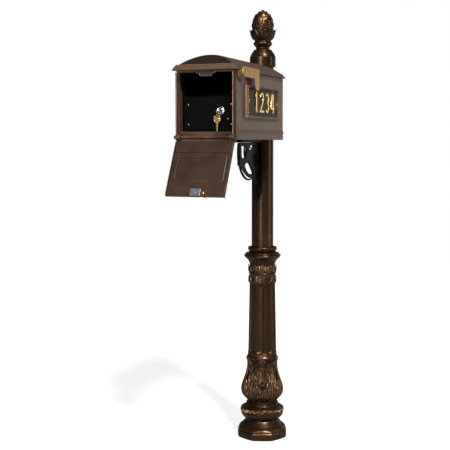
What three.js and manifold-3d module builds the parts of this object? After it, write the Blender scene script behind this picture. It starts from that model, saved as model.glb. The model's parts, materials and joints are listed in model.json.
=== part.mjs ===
// A post-mounted mailbox: a cast box with a drop-down door, a locking insert, a number plate and a flag,
// carried by a scroll bracket on a round post with a decorative sleeve and a pineapple finial.
// Millimetres, +Z up. The box's front faces -Y, and the origin is on the post's axis at the ground.

import * as THREE from "three";
import { mergeVertices } from "three/addons/utils/BufferGeometryUtils.js";
import Module from "manifold-3d";

const wasm = await Module();
wasm.setup();

// ---------------------------------------------------------------- driving dimensions

const GAP = 0.3; // air between pieces that touch
const SIDES = 24; // facets round a turned casting
const SMALL_SIDES = 12; // facets round a fastener

// post and its anchor plate
const POST_R = 38.1;
const POST_WALL = 3;
const POST_TOP = 1343;
const FLANGE_R = 75;
const FLANGE_H = 8;
const FLANGE_HOLE_R = 6.5;
const FLANGE_HOLE_CIRCLE_R = 58;

// decorative sleeve, stacked from the ground up
const SLEEVE_TURN = THREE.MathUtils.degToRad(19); // the octagonal plinth is turned from the box's front
const SLEEVE_BORE_R = POST_R + 0.4;
const PLINTH_APOTHEM = 87;
const PLINTH_H = 28;
const BASE_H = 123;
const VASE_H = 175;
const COLUMN_H = 285;
const CAPITAL_H = 78;
const TRIM_H = 21;
const TRIM_R = 51;

// finial
const COLLAR_R = 45;
const COLLAR_SKIRT = 32; // how far the collar reaches down over the post
const COLLAR_H = 61;
const FINIAL_H = 136;
const STUD_R = 6;

// set screws
const SET_SCREW_R = 3;
const SET_SCREW_HEAD_STANDS = 2;

// scroll bracket and its arm
const SADDLE_HALF_W = 12;
const SADDLE_DEPTH = 8;
const SADDLE_LOW_Z = 850;
const SADDLE_RISE = 53; // above the underside of the box
const ARM_LENGTH = 199;
const ARM_H = 8;
const BRACKET_HALF_W = 6;
const BRACKET_DROP = 170;
const SADDLE_BOLT_R = 4;

// box
const BOX_BOTTOM = 1057;
const BOX_POST_GAP = 29.4;
const BOX_LENGTH = 455.5;
const BOX_HALF_W = 95.5;
const BOX_H = 207;
const WALL = 3;
const SKIRT_H = 22;
const SKIRT_STANDS = 1.2;
const BEAD_STANDS = 3;
const BEAD_H = 6;
const FRAME_DEPTH = 6;
const JAMB_W = 10.5;
const SILL_H = 25;
const SILL_RAIL_H = 9;
const HEADER_H = 6;
const HEADER_DEPTH = 12;
const MOUNT_PLATE_H = 6;
const MOUNT_PLATE_HALF_W = 60;

// roof
const ROOF_HALF_W = 105.4;
const ROOF_FRONT_OVERHANG = 14;
const ROOF_RISE = 48;
const ROOF_END_LEAN = 48;
const ROOF_WALL = 4;

// door, drawn closed and then swung open about its rod
const HINGE_AHEAD = 4; // axis ahead of the frame's face
const HINGE_UP = 8; // axis above the underside of the box
const DOOR_OPEN = THREE.MathUtils.degToRad(153);
const DOOR_LENGTH = 192.8;
const DOOR_HALF_W = 94;
const DOOR_T = 3.5;
const DOOR_OFFSET = 4; // inner face ahead of the axis when closed
const DOOR_RIM_H = 7;
const DOOR_RIM_W = 3;
const KNUCKLE_R = 4.5;
const ROD_R = 2.5;
const ROD_STANDS = 7;
const ROD_TAIL = 13;
const LUG_R = 10;
const LUG_W = 15.5;
const STRIKE_W = 32;
const STRIKE_L = 23;
const STRIKE_STANDS = 5;
const KNOB_X = 25;
const KNOB_R = 9;

// magnet catch
const CATCH_W = 62;
const CATCH_DROP_W = 39;
const CATCH_DROP = 11;
const SHEET = 1.5;

// locking insert
const INSERT_SIDE_GAP = 1.5;
const INSERT_SETBACK = 28; // front of the insert behind the frame's face
const INSERT_BACK_GAP = 20;
const MAIL_SLOT_H = BOX_H / 3;
const CHUTE_LENGTH = 190;
const CHUTE_RISE = 18;
const LOCK_X = 37;
const LOCK_UP = (BOX_H * 61) / 207; // above the insert's underside
const BEZEL_R = 12.5;
const LOCK_R = 9;
const LOCK_L = 24;
const PLUG_R = 5.4;
const CAM_LENGTH = 39;

// keys
const KEY_T = 1.6;
const KEY_BOW_R = 12;
const KEY_L = 50;
const KEY_BLADE_W = 6;
const KEY_BLADE_L = 24;
const KEY_HOLE_R = 2.4;
const KEY_HOLE_IN = 4; // hole's centre from the bow's end
const LINK_WIRE_R = 0.6;
const LINK_HALF_W = 5.5;
const LINK_HALF_H = 10;

// number plate on the right side
const PLATE_FRONT = 102; // front edge of its frame behind the box's front
const PLATE_FRAME_L = 329;
const PLATE_FRAME_H = 102;
const PLATE_UP = 64; // frame's lower edge above the underside of the box
const PLATE_FRAME_T = 5;
const PLATE_END_W = 29;
const PLATE_REAR_END_W = 21;
const PLATE_RAIL_LOW = 11;
const PLATE_RAIL_TOP = 6;
const PLATE_T = 2.7;
const TRIM_BEAD_R = 4.5;
const NUMERAL_H = 65;
const NUMERAL_T = 2.5;
const PLATE_WINDOW_L = PLATE_FRAME_L - PLATE_END_W - PLATE_REAR_END_W;
const NUMERAL_PITCH = (PLATE_WINDOW_L * 52) / 279;
const NUMERAL_START = (PLATE_WINDOW_L * 50) / 279; // first numeral behind the plate's front edge
const PLATE_SCREW_R = 2;

// flag
const FLAG_PIVOT_BACK = 38; // pivot behind the box's front
const FLAG_PIVOT_DROP = 5; // pivot below the eave
const FLAG_BOSS_R = 28;
const FLAG_BOSS_T = 10.5;
const FLAG_T = 4;
const FLAG_ARM = 133;
const FLAG_HALF_H = 15.5;
const FLAG_LEG_TOP = 42;
const FLAG_LEG_TIP = 28;
const FLAG_LEG_DROP = 34;
const FLAG_BOLT_R = 3;
const FLAG_NUT_R = 4.5;

// ---------------------------------------------------------------- derived places

const boxBack = -(POST_R + BOX_POST_GAP);
const boxFront = boxBack - BOX_LENGTH;
const boxTop = BOX_BOTTOM + BOX_H;
const panelFront = boxFront + FRAME_DEPTH + GAP;
const innerHalfW = BOX_HALF_W - WALL;
const plateBottom = BOX_BOTTOM + GAP;
const floorBottom = plateBottom + MOUNT_PLATE_H + GAP;
const floorTop = floorBottom + WALL;
const sillTop = BOX_BOTTOM + SILL_H;
const openingTop = boxTop - HEADER_H;
const openingHalfW = BOX_HALF_W - JAMB_W;
const hingeY = boxFront - HINGE_AHEAD;
const hingeZ = BOX_BOTTOM + HINGE_UP;
const insertHalfW = openingHalfW - INSERT_SIDE_GAP;
const insertBottom = sillTop + 1;
const insertTop = openingTop - INSERT_SIDE_GAP;
const insertFront = boxFront + INSERT_SETBACK;
const insertBack = boxBack - WALL - INSERT_BACK_GAP;
const chuteZ = insertTop - MAIL_SLOT_H;
const lockZ = insertBottom + LOCK_UP;
const plugFace = insertFront - 4.3;

// ---------------------------------------------------------------- materials

const finish = (color, roughness, metalness) => new THREE.MeshStandardMaterial({ color, roughness, metalness });
const bronze = finish(0x4a3424, 0.5, 0.7);
const boxPaint = finish(0x5a4a3e, 0.6, 0.5);
const doorPaint = finish(0x3f2c20, 0.6, 0.5);
const black = finish(0x0c0b0b, 0.6, 0.4);
const blackSteel = finish(0x101012, 0.5, 0.6);
const olive = finish(0x35301f, 0.7, 0.3);
const brass = finish(0xd9a85c, 0.3, 0.9);
const flagGold = finish(0xb08a54, 0.5, 0.6);
const zinc = finish(0x8a97a3, 0.4, 0.9);
const chrome = finish(0xd8d8da, 0.15, 1);
const magnetGrey = finish(0x3a3a3c, 0.7, 0.2);

// ---------------------------------------------------------------- geometry helpers

// a box between two corners
function box(x0, x1, y0, y1, z0, z1) {
  const g = new THREE.BoxGeometry(x1 - x0, y1 - y0, z1 - z0);
  return g.translate((x0 + x1) / 2, (y0 + y1) / 2, (z0 + z1) / 2);
}

// a rod along an axis from one coordinate to another, through the point (x, y, z) across it
const ROD_TURN = { x: [0, 0, -Math.PI / 2], y: [0, 0, 0], z: [Math.PI / 2, 0, 0] };
function rod(axis, radius, from, to, { x = 0, y = 0, z = 0, sides = SMALL_SIDES } = {}) {
  const g = new THREE.CylinderGeometry(radius, radius, to - from, sides);
  g.applyMatrix4(new THREE.Matrix4().makeRotationFromEuler(new THREE.Euler(...ROD_TURN[axis])));
  const centre = { x, y, z, [axis]: (from + to) / 2 };
  return g.translate(centre.x, centre.y, centre.z);
}

// a turned solid about Z from [radius, height] points that go up its outside and down its inside
function turned(profile, sides = SIDES, start = 0) {
  const points = profile.map(([r, h]) => new THREE.Vector2(r, h));
  if (profile[0][0] > 0) points.push(points[0].clone());
  return new THREE.LatheGeometry(points, sides, start).rotateX(Math.PI / 2);
}

// a flat outline drawn in (y, z) and extruded along X, or in (x, z) along Y, or in (x, y) along Z
const PRISM_AXES = {
  x: [[0, 1, 0], [0, 0, 1], [1, 0, 0]],
  y: [[-1, 0, 0], [0, 0, 1], [0, 1, 0]],
  z: [[1, 0, 0], [0, 1, 0], [0, 0, 1]],
};
function prism(axis, outline, from, to) {
  const flip = axis === "y" ? -1 : 1; // drawn from behind, so that the extrusion runs along +Y
  const shape = new THREE.Shape(outline.map(([a, b]) => new THREE.Vector2(flip * a, b)));
  const g = new THREE.ExtrudeGeometry(shape, { depth: to - from, bevelEnabled: false, curveSegments: 6 });
  const [a, b, c] = PRISM_AXES[axis].map((v) => new THREE.Vector3(...v));
  return g.translate(0, 0, from).applyMatrix4(new THREE.Matrix4().makeBasis(a, b, c));
}

// points of an arc, in degrees
function arc(cx, cy, r, from, to, steps = 8) {
  const points = [];
  for (let i = 0; i <= steps; i++) {
    const t = THREE.MathUtils.degToRad(from + ((to - from) * i) / steps);
    points.push([cx + r * Math.cos(t), cy + r * Math.sin(t)]);
  }
  return points;
}

// the outline of a stroke of one width along a line of points
function stroke(points, width) {
  const sides = [[], []];
  points.forEach((p, i) => {
    const before = new THREE.Vector2(...(points[i - 1] ?? p));
    const here = new THREE.Vector2(...p);
    const after = new THREE.Vector2(...(points[i + 1] ?? p));
    const into = here.clone().sub(before).normalize();
    const out = after.clone().sub(here).normalize();
    const along = into.clone().add(out).normalize();
    const stretch = Math.min(1 / Math.max(along.dot(i ? into : out), 0.5), 1.6);
    const across = new THREE.Vector2(-along.y, along.x).multiplyScalar((width / 2) * stretch);
    sides[0].push([here.x + across.x, here.y + across.y]);
    sides[1].unshift([here.x - across.x, here.y - across.y]);
  });
  return [...sides[0], ...sides[1]];
}

function toSolid(geometry) {
  const plain = geometry.clone();
  for (const name of ["normal", "uv"]) plain.deleteAttribute(name);
  const merged = mergeVertices(plain, 1e-4);
  const vertProperties = new Float32Array(merged.attributes.position.array);
  return new wasm.Manifold(new wasm.Mesh({ numProp: 3, vertProperties, triVerts: new Uint32Array(merged.index.array) }));
}

function fromSolid(solid) {
  const mesh = solid.getMesh();
  const g = new THREE.BufferGeometry();
  g.setAttribute("position", new THREE.BufferAttribute(new Float32Array(mesh.vertProperties), 3));
  g.setIndex(new THREE.BufferAttribute(new Uint32Array(mesh.triVerts), 1));
  g.computeVertexNormals();
  return g;
}

const join = (first, ...rest) => fromSolid(rest.reduce((sum, g) => sum.add(toSolid(g)), toSolid(first)));
const cut = (first, ...rest) => fromSolid(rest.reduce((left, g) => left.subtract(toSolid(g)), toSolid(first)));

function add(parent, name, geometry, material) {
  const mesh = new THREE.Mesh(geometry, material);
  mesh.name = name;
  parent.add(mesh);
  return mesh;
}

function section(parent, turnZ = 0, place = [0, 0, 0]) {
  const group = new THREE.Group();
  group.rotation.z = turnZ;
  group.position.set(...place);
  parent.add(group);
  return group;
}

// ---------------------------------------------------------------- post, anchor plate and sleeve

function addPost(root) {
  const holes = [45, 135, 225, 315].map((deg) => {
    const t = THREE.MathUtils.degToRad(deg);
    const place = { x: FLANGE_HOLE_CIRCLE_R * Math.cos(t), y: FLANGE_HOLE_CIRCLE_R * Math.sin(t) };
    return rod("z", FLANGE_HOLE_R, -1, FLANGE_H + 1, place);
  });
  add(root, "anchor_flange", cut(rod("z", FLANGE_R, 0, FLANGE_H, { sides: 32 }), ...holes), blackSteel);

  const inner = POST_R - POST_WALL;
  const foot = FLANGE_H + GAP;
  const tube = turned([[inner, foot], [POST_R, foot], [POST_R, POST_TOP], [inner, POST_TOP]], 32);
  const boltHoles = saddleBoltHeights().map((z) =>
    rod("y", SADDLE_BOLT_R + GAP, -POST_R - 1, -inner + 1, { z }));
  add(root, "post_tube", cut(tube, ...boltHoles), bronze);
}

// a casting of the sleeve: its outside profile, measured from its own foot, round the post's bore
function sleeveCasting(group, name, foot, height, outside) {
  const top = foot + height - GAP;
  const profile = [[SLEEVE_BORE_R, foot], ...outside.map(([r, h]) => [r, Math.min(foot + h, top)])];
  add(group, name, turned([...profile, [SLEEVE_BORE_R, top]]), bronze);
}

function addSleeve(root) {
  const group = section(root, SLEEVE_TURN);
  const corner = PLINTH_APOTHEM / Math.cos(Math.PI / 8);
  const bevel = corner - 7;
  const eighth = Math.PI / 8;
  const octagon = turned([[0, 0], [corner, 0], [corner, PLINTH_H - 7], [bevel, PLINTH_H], [0, PLINTH_H]], 8, eighth);
  const bell = turned([
    [0, PLINTH_H - 4], [80, PLINTH_H - 4], [79, PLINTH_H + 5], [71.6, 43], [63, 54], [59, 64], [66, 68],
    [73, 77], [76, 87], [76, 97], [73, 108], [65, 117], [52, BASE_H - GAP], [0, BASE_H - GAP],
  ]);
  const hollow = turned([
    [0, -1], [FLANGE_R + 3, -1], [FLANGE_R + 3, FLANGE_H + 8], [56, 50], [54, 62], [68, 80], [68, 104],
    [54, BASE_H - 6], [SLEEVE_BORE_R, BASE_H - 6], [SLEEVE_BORE_R, BASE_H + 1], [0, BASE_H + 1],
  ]);
  add(group, "base_casting", cut(join(octagon, bell), hollow), bronze);

  const vaseFoot = BASE_H;
  sleeveCasting(group, "vase_casting", vaseFoot, VASE_H, [
    [48, 0], [48, 9], [57, 19], [68, 30], [72, 41], [72, 53], [69.5, 65], [64, 84], [57, 106],
    [52, 130], [52.5, 148], [58, 160], [58, 170], [52, VASE_H],
  ]);
  const columnFoot = vaseFoot + VASE_H;
  sleeveCasting(group, "fluted_column", columnFoot, COLUMN_H, [
    [50.5, 0], [45.5, 254], [47, 262], [48.5, 272], [48, COLUMN_H],
  ]);
  const capitalFoot = columnFoot + COLUMN_H;
  sleeveCasting(group, "capital_casting", capitalFoot, CAPITAL_H, [
    [48, 0], [48, 12], [47, 34], [46, 43], [51, 50], [63, 57], [65, 63], [65, 74], [55, CAPITAL_H],
  ]);
  const ringFoot = capitalFoot + CAPITAL_H;
  const ring = turned([
    [SLEEVE_BORE_R, ringFoot], [46, ringFoot], [TRIM_R, ringFoot + 4], [TRIM_R, ringFoot + TRIM_H - 4],
    [46, ringFoot + TRIM_H], [SLEEVE_BORE_R, ringFoot + TRIM_H],
  ]);
  addSetScrew(group, "trim_ring", ring, TRIM_R, ringFoot + TRIM_H / 2, "trim_set_screw");
}

// a ring or collar with a set screw through its front, and the screw
function addSetScrew(group, name, geometry, radius, z, screwName) {
  add(group, name, cut(geometry, rod("y", SET_SCREW_R + GAP, -radius - 5, -POST_R, { z })), bronze);
  const screw = rod("y", SET_SCREW_R, -radius - SET_SCREW_HEAD_STANDS, -SLEEVE_BORE_R - GAP, { z });
  add(group, screwName, screw, black);
}

// ---------------------------------------------------------------- finial

function addFinial(root) {
  const group = section(root, SLEEVE_TURN);
  const foot = POST_TOP - COLLAR_SKIRT;
  const seat = POST_TOP + GAP;
  const bore = STUD_R + GAP;
  const collar = turned([
    [SLEEVE_BORE_R, foot], [COLLAR_R, foot], [COLLAR_R, foot + 36], [41.5, foot + 40], [39, foot + 47],
    [33, foot + 54], [24, foot + 59], [23.6, foot + COLLAR_H], [bore, foot + COLLAR_H], [bore, seat],
    [SLEEVE_BORE_R, seat],
  ]);
  addSetScrew(group, "finial_collar", collar, COLLAR_R, foot + 13, "collar_set_screw");

  const finialFoot = foot + COLLAR_H + GAP;
  const boreTop = finialFoot + 50;
  add(group, "finial_stud", rod("z", STUD_R, seat + 2, boreTop - 3), zinc);
  add(group, "pineapple_finial", turned([
    [bore, finialFoot], [23.6, finialFoot], [24, finialFoot + 6], [29.7, finialFoot + 12], [33, finialFoot + 20],
    [28.6, finialFoot + 27], [33, finialFoot + 35], [39, finialFoot + 46], [43.8, finialFoot + 60],
    [49.4, finialFoot + 67], [46, finialFoot + 72], [40.3, finialFoot + 76], [38, finialFoot + 88],
    [34.5, finialFoot + 101], [28.5, finialFoot + 115], [23.5, finialFoot + 123], [16.7, finialFoot + 130],
    [7, finialFoot + FINIAL_H], [0, finialFoot + FINIAL_H], [0, boreTop], [bore, boreTop],
  ], 20), bronze);
}

// ---------------------------------------------------------------- bracket

function saddleBoltHeights() {
  return [SADDLE_LOW_Z + 22, BOX_BOTTOM + SADDLE_RISE - 20];
}

function addBracket(root) {
  const front = -POST_R - SADDLE_DEPTH;
  const saddleTop = BOX_BOTTOM + SADDLE_RISE;
  const tip = SADDLE_LOW_Z;
  const saddlePlate = prism("y", [
    [-SADDLE_HALF_W, saddleTop], [-SADDLE_HALF_W, tip + 30], [-4, tip], [4, tip], [SADDLE_HALF_W, tip + 30],
    [SADDLE_HALF_W, saddleTop],
  ], front, -POST_R + 4);
  const post = rod("z", POST_R + GAP, tip - 5, saddleTop + 5, { sides: 32 });
  const boltHoles = saddleBoltHeights().map((z) => rod("y", SADDLE_BOLT_R + GAP, front - 1, 0, { z }));
  add(root, "post_saddle", cut(saddlePlate, post, ...boltHoles), black);

  saddleBoltHeights().forEach((z, i) => {
    const head = rod("y", SADDLE_BOLT_R * 1.7, front - GAP - 4, front - GAP, { z, sides: 6 });
    const shank = rod("y", SADDLE_BOLT_R, front - GAP - 1, -POST_R + POST_WALL + 5, { z });
    add(root, ["saddle_bolt_lower", "saddle_bolt_upper"][i], join(head, shank), black);
  });

  const rear = front - GAP;
  const armBottom = BOX_BOTTOM - ARM_H;
  const blindHoles = boxBoltPlaces().map((y) => rod("z", SADDLE_BOLT_R + GAP, armBottom + 1.2, BOX_BOTTOM + 1, { y }));
  const arm = box(-SADDLE_HALF_W, SADDLE_HALF_W, rear - ARM_LENGTH, rear, armBottom, BOX_BOTTOM);
  add(root, "support_arm", cut(arm, ...blindHoles), black);

  // scrollwork in the post's plane, drawn from the corner under the arm: back is towards -Y, down is towards -Z
  const top = armBottom - GAP;
  const at = (points) => points.map(([ahead, down]) => [rear - ahead, top - down]);
  const outline = at([
    [0, 0], [ARM_LENGTH, 0], [196, 22], [190, 46], [193, 60], [205, 72], [186, 76], [166, 84], [142, 99],
    [118, 111], [92, 119], [62, 122], [44, 128], [26, 140], [10, 156], [0, BRACKET_DROP - 12],
  ]);
  const holes = [
    [[124, 12], [179, 12], [176, 34], [168, 52], [140, 54], [126, 40]],
    [[44, 8], [76, 8], [100, 18], [92, 26], [66, 22], [46, 16]],
    [[95, 72], [118, 66], [144, 74], [130, 90], [106, 104], [70, 108], [58, 104], [78, 88]],
    [[20, 34], [40, 28], [62, 36], [68, 54], [56, 74], [38, 84], [22, 70], [14, 52]],
    [[10, 88], [22, 92], [40, 104], [34, 116], [20, 128], [10, 134]],
  ].map((hole) => prism("x", at(hole), -BRACKET_HALF_W - 1, BRACKET_HALF_W + 1));
  add(root, "scroll_bracket", cut(prism("x", outline, -BRACKET_HALF_W, BRACKET_HALF_W), ...holes), black);
}

// ---------------------------------------------------------------- box

function boxBoltPlaces() {
  const rear = -POST_R - SADDLE_DEPTH - GAP;
  return [rear - 50, rear - ARM_LENGTH + 25];
}

// a wall's section: outward distance from its outer face against height, with skirt and bead
function wallSection(inner) {
  const bead = BOX_BOTTOM + SKIRT_H;
  return [
    [inner, BOX_BOTTOM], [SKIRT_STANDS, BOX_BOTTOM], [SKIRT_STANDS, bead], [BEAD_STANDS, bead + 1],
    [BEAD_STANDS, bead + BEAD_H - 1], [0, bead + BEAD_H + 1], [0, boxTop], [inner, boxTop],
  ];
}

function addBox(root) {
  const plateRear = boxBack - WALL - GAP - 6;
  const plate = box(
    -MOUNT_PLATE_HALF_W, MOUNT_PLATE_HALF_W, panelFront + 30, plateRear, plateBottom, plateBottom + MOUNT_PLATE_H,
  );
  const bolts = boxBoltPlaces();
  const boltHoles = (low, high) => bolts.map((y) => rod("z", SADDLE_BOLT_R + GAP, low, high, { y }));
  add(root, "mount_plate", cut(plate, ...boltHoles(plateBottom - 1, floorBottom)), blackSteel);

  const floorHalfW = innerHalfW - GAP;
  const floor = box(-floorHalfW, floorHalfW, panelFront, boxBack - WALL - GAP, floorBottom, floorTop);
  add(root, "floor_panel", cut(floor, ...boltHoles(floorBottom - 1, floorTop + 1)), boxPaint);
  bolts.forEach((y, i) => {
    const head = rod("z", SADDLE_BOLT_R * 1.7, floorTop + GAP, floorTop + GAP + 4, { y, sides: 6 });
    const shank = rod("z", SADDLE_BOLT_R, BOX_BOTTOM - ARM_H + 1.8, floorTop + GAP + 1, { y });
    add(root, ["box_bolt_rear", "box_bolt_front"][i], join(head, shank), zinc);
  });

  const left = wallSection(-WALL).map(([out, z]) => [-BOX_HALF_W - out, z]);
  add(root, "left_side_panel", prism("y", left.reverse(), panelFront, boxBack), boxPaint);
  const right = wallSection(-WALL).map(([out, z]) => [BOX_HALF_W + out, z]);
  const flagHole = rod("x", FLAG_BOLT_R + GAP, innerHalfW - 1, BOX_HALF_W + 1, flagPivot());
  const plateHoles = plateScrewPlaces().map((p) => rod("x", PLATE_SCREW_R + GAP, innerHalfW - 1, BOX_HALF_W + 1, p));
  add(root, "right_side_panel", cut(prism("y", right, panelFront, boxBack), flagHole, ...plateHoles), boxPaint);
  const back = wallSection(-WALL).map(([out, z]) => [boxBack + out, z]);
  add(root, "back_panel", prism("x", back, -innerHalfW + GAP, innerHalfW - GAP), boxPaint);

  addFrontFrame(root);
  addRoof(root);
}

function addFrontFrame(root) {
  const rear = boxFront + FRAME_DEPTH;
  const plate = box(-BOX_HALF_W, BOX_HALF_W, boxFront, rear, BOX_BOTTOM, boxTop);
  const header = box(-openingHalfW - 4, openingHalfW + 4, boxFront + 1, boxFront + HEADER_DEPTH, openingTop, boxTop);
  const opening = box(-openingHalfW, openingHalfW, boxFront - 1, boxFront + HEADER_DEPTH + 1, sillTop, openingTop);
  const lugInner = BOX_HALF_W - LUG_W;
  const recessTop = sillTop - SILL_RAIL_H;
  const recess = box(-lugInner, lugInner, boxFront - 1, boxFront + FRAME_DEPTH - 2, BOX_BOTTOM - 1, recessTop);
  const lugs = [];
  for (const side of [-1, 1]) {
    const [x0, x1] = side < 0 ? [-BOX_HALF_W, -lugInner] : [lugInner, BOX_HALF_W];
    lugs.push(rod("x", LUG_R, x0, x1, { y: hingeY, z: hingeZ, sides: 20 }));
    lugs.push(prism("x", lugStop(), x0, x1));
  }
  const rodHole = rod("x", ROD_R + GAP, -BOX_HALF_W - 1, BOX_HALF_W + 1, { y: hingeY, z: hingeZ });
  const frame = cut(join(plate, header), opening, recess);
  add(root, "front_frame", cut(join(frame, ...lugs), rodHole), boxPaint);
}

// the lug's heel, whose sloping face the opened door comes to rest on
function lugStop() {
  const along = [-Math.sin(DOOR_OPEN), Math.cos(DOOR_OPEN)];
  const out = [-Math.cos(DOOR_OPEN), -Math.sin(DOOR_OPEN)];
  const lift = DOOR_OFFSET + DOOR_T + GAP;
  const point = (s) => [hingeY + along[0] * s + out[0] * lift, hingeZ + along[1] * s + out[1] * lift];
  const upper = point(LUG_R + 1);
  const lower = point(LUG_R + 5);
  const rear = boxFront + FRAME_DEPTH;
  return [[upper[0], hingeZ], upper, lower, [rear, lower[1]], [rear, hingeZ]];
}

// horizontal rings of the roof: the arch narrows to its crown while both ends lean in
function roofLevels() {
  return [
    [ROOF_HALF_W, 0, 0], [ROOF_HALF_W, 3, 0], [100, 10.5, 0.14], [94, 15.5, 0.24], [88, 19, 0.31], [71, 26, 0.5],
    [56, 35.5, 0.66], [41, 40.8, 0.83], [26, 44.5, 0.92], [12, 47, 0.98], [4, ROOF_RISE, 1],
  ];
}

function loft(rings) {
  const positions = [];
  const index = [];
  rings.forEach(([halfW, y0, y1, z]) => positions.push(-halfW, y0, z, halfW, y0, z, halfW, y1, z, -halfW, y1, z));
  for (let i = 0; i + 1 < rings.length; i++) {
    for (let k = 0; k < 4; k++) {
      const [a, b] = [4 * i + k, 4 * i + ((k + 1) % 4)];
      index.push(a, b, b + 4, a, b + 4, a + 4);
    }
  }
  const top = 4 * (rings.length - 1);
  index.push(0, 2, 1, 0, 3, 2, top, top + 1, top + 2, top, top + 2, top + 3);
  const g = new THREE.BufferGeometry();
  g.setAttribute("position", new THREE.Float32BufferAttribute(positions, 3));
  g.setIndex(index);
  return g;
}

function addRoof(root) {
  const foot = boxTop + GAP;
  const front = boxFront - ROOF_FRONT_OVERHANG;
  const ring = ([halfW, rise, lean], shrink, drop) => [
    halfW - shrink, front + lean * ROOF_END_LEAN + shrink, boxBack - lean * ROOF_END_LEAN - shrink,
    foot + rise - drop,
  ];
  const outer = loft(roofLevels().map((level) => ring(level, 0, 0)));
  const lip = ROOF_HALF_W - BOX_HALF_W + WALL + 2;
  const levels = roofLevels().slice(1, -2);
  const inner = loft([
    [ROOF_HALF_W - lip, boxFront + FRAME_DEPTH, boxBack - WALL - 2, foot - 1],
    ...levels.slice(2).map(([halfW, rise, lean]) => [
      Math.min(halfW - ROOF_WALL, ROOF_HALF_W - lip), boxFront + FRAME_DEPTH + Math.max(0, lean * ROOF_END_LEAN - 6),
      boxBack - WALL - 2 - lean * ROOF_END_LEAN, foot + rise - ROOF_WALL,
    ]),
  ]);
  add(root, "roof", cut(outer, inner), boxPaint);
}

// ---------------------------------------------------------------- door

function addDoor(root) {
  const hinge = section(root, 0, [0, hingeY, hingeZ]);
  hinge.rotation.x = DOOR_OPEN;
  const inner = -DOOR_OFFSET;
  const outer = inner - DOOR_T;
  const neckHalfW = BOX_HALF_W - LUG_W - 1;
  const rimStart = LUG_R + 4;
  const plate = box(-DOOR_HALF_W, DOOR_HALF_W, outer, inner, LUG_R + 1, DOOR_LENGTH);
  const neck = box(-neckHalfW, neckHalfW, outer, 0, 0, LUG_R + 3);
  const neckRelief = box(-neckHalfW - 1, neckHalfW + 1, inner, 2, KNUCKLE_R, LUG_R + 4);
  const knuckle = rod("x", KNUCKLE_R, -neckHalfW, neckHalfW, { sides: 16 });
  const rims = [-1, 1].map((side) => {
    const x = side * (DOOR_HALF_W - DOOR_RIM_W / 2);
    return box(x - DOOR_RIM_W / 2, x + DOOR_RIM_W / 2, inner - 1, inner + DOOR_RIM_H, rimStart, DOOR_LENGTH - 2);
  });
  const strikeFoot = DOOR_LENGTH - 1.5 - STRIKE_L;
  const strikeHoleZ = strikeFoot + STRIKE_L / 2;
  const bore = rod("x", ROD_R + GAP, -neckHalfW - 1, neckHalfW + 1);
  const knobHole = rod("y", 2.3, outer - 1, inner + 1, { x: KNOB_X, z: strikeHoleZ });
  const strikeHole = rod("y", 1.5 + GAP, outer - 1, inner + 1, { z: strikeHoleZ });
  const panel = join(cut(join(plate, neck), neckRelief), knuckle, ...rims);
  add(hinge, "mail_door", cut(panel, bore, knobHole, strikeHole), doorPaint);

  // the strike is a folded sheet that stands off the door to meet the magnet
  const halfStrike = STRIKE_W / 2;
  const low = inner + GAP;
  const high = inner + STRIKE_STANDS;
  const folded = box(-halfStrike, halfStrike, low, high, strikeFoot, strikeFoot + STRIKE_L);
  const under = box(
    -halfStrike + SHEET, halfStrike - SHEET, low - 1, high - SHEET, strikeFoot - 1, strikeFoot + STRIKE_L - SHEET,
  );
  const driven = rod("y", 1.5 + GAP, high - SHEET - 1, high + 1, { z: strikeHoleZ });
  add(hinge, "strike_plate", cut(folded, under, driven), zinc);
  const screwHead = rod("y", 3, high + GAP / 2, high + 0.7, { z: strikeHoleZ });
  add(hinge, "strike_screw", join(screwHead, rod("y", 1.5, outer + 0.5, high + 0.5, { z: strikeHoleZ })), zinc);

  const knobFoot = outer - GAP;
  const knob = turned([[0, 0], [6, 0], [4, 4], [4, 7], [KNOB_R, 11], [KNOB_R, 15], [5, 18], [0, 18]], 16);
  knob.rotateX(Math.PI / 2).translate(KNOB_X, knobFoot, strikeHoleZ);
  const socket = rod("y", 2.3, knobFoot - 9, knobFoot + 1, { x: KNOB_X, z: strikeHoleZ });
  add(hinge, "door_knob", cut(knob, socket), brass);
  const knobScrewHead = rod("y", 4, inner + GAP, inner + 2.6, { x: KNOB_X, z: strikeHoleZ });
  const knobShank = rod("y", 2, knobFoot - 8, inner + 1, { x: KNOB_X, z: strikeHoleZ });
  add(hinge, "knob_screw", join(knobScrewHead, knobShank), brass);

  const pin = rod("x", ROD_R, -BOX_HALF_W - ROD_STANDS, BOX_HALF_W + ROD_TAIL, { y: hingeY, z: hingeZ });
  const headEnd = -BOX_HALF_W - GAP;
  const pinHead = rod("x", ROD_R + 2, headEnd - ROD_STANDS + 1, headEnd, { y: hingeY, z: hingeZ });
  add(root, "hinge_rod", join(pin, pinHead), bronze);
}

function addCatch(root) {
  const half = CATCH_W / 2;
  const drop = CATCH_DROP_W / 2;
  const high = openingTop - GAP;
  const low = high - CATCH_DROP;
  const rear = boxFront + HEADER_DEPTH;
  const hat = [
    [-half, high], [-half, high - SHEET], [-drop, high - SHEET], [-drop, low], [drop, low], [drop, high - SHEET],
    [half, high - SHEET], [half, high], [drop - SHEET, high], [drop - SHEET, low + SHEET],
    [-drop + SHEET, low + SHEET], [-drop + SHEET, high],
  ];
  add(root, "catch_bracket", prism("y", hat, boxFront - 1.5, rear), chrome);
  const face = hingeY - DOOR_OFFSET + STRIKE_STANDS + 1;
  const side = drop - SHEET - GAP;
  add(root, "catch_magnet", box(-side, side, face, rear - 1, low + SHEET + GAP, high), magnetGrey);
}

// ---------------------------------------------------------------- locking insert, lock and keys

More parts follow.
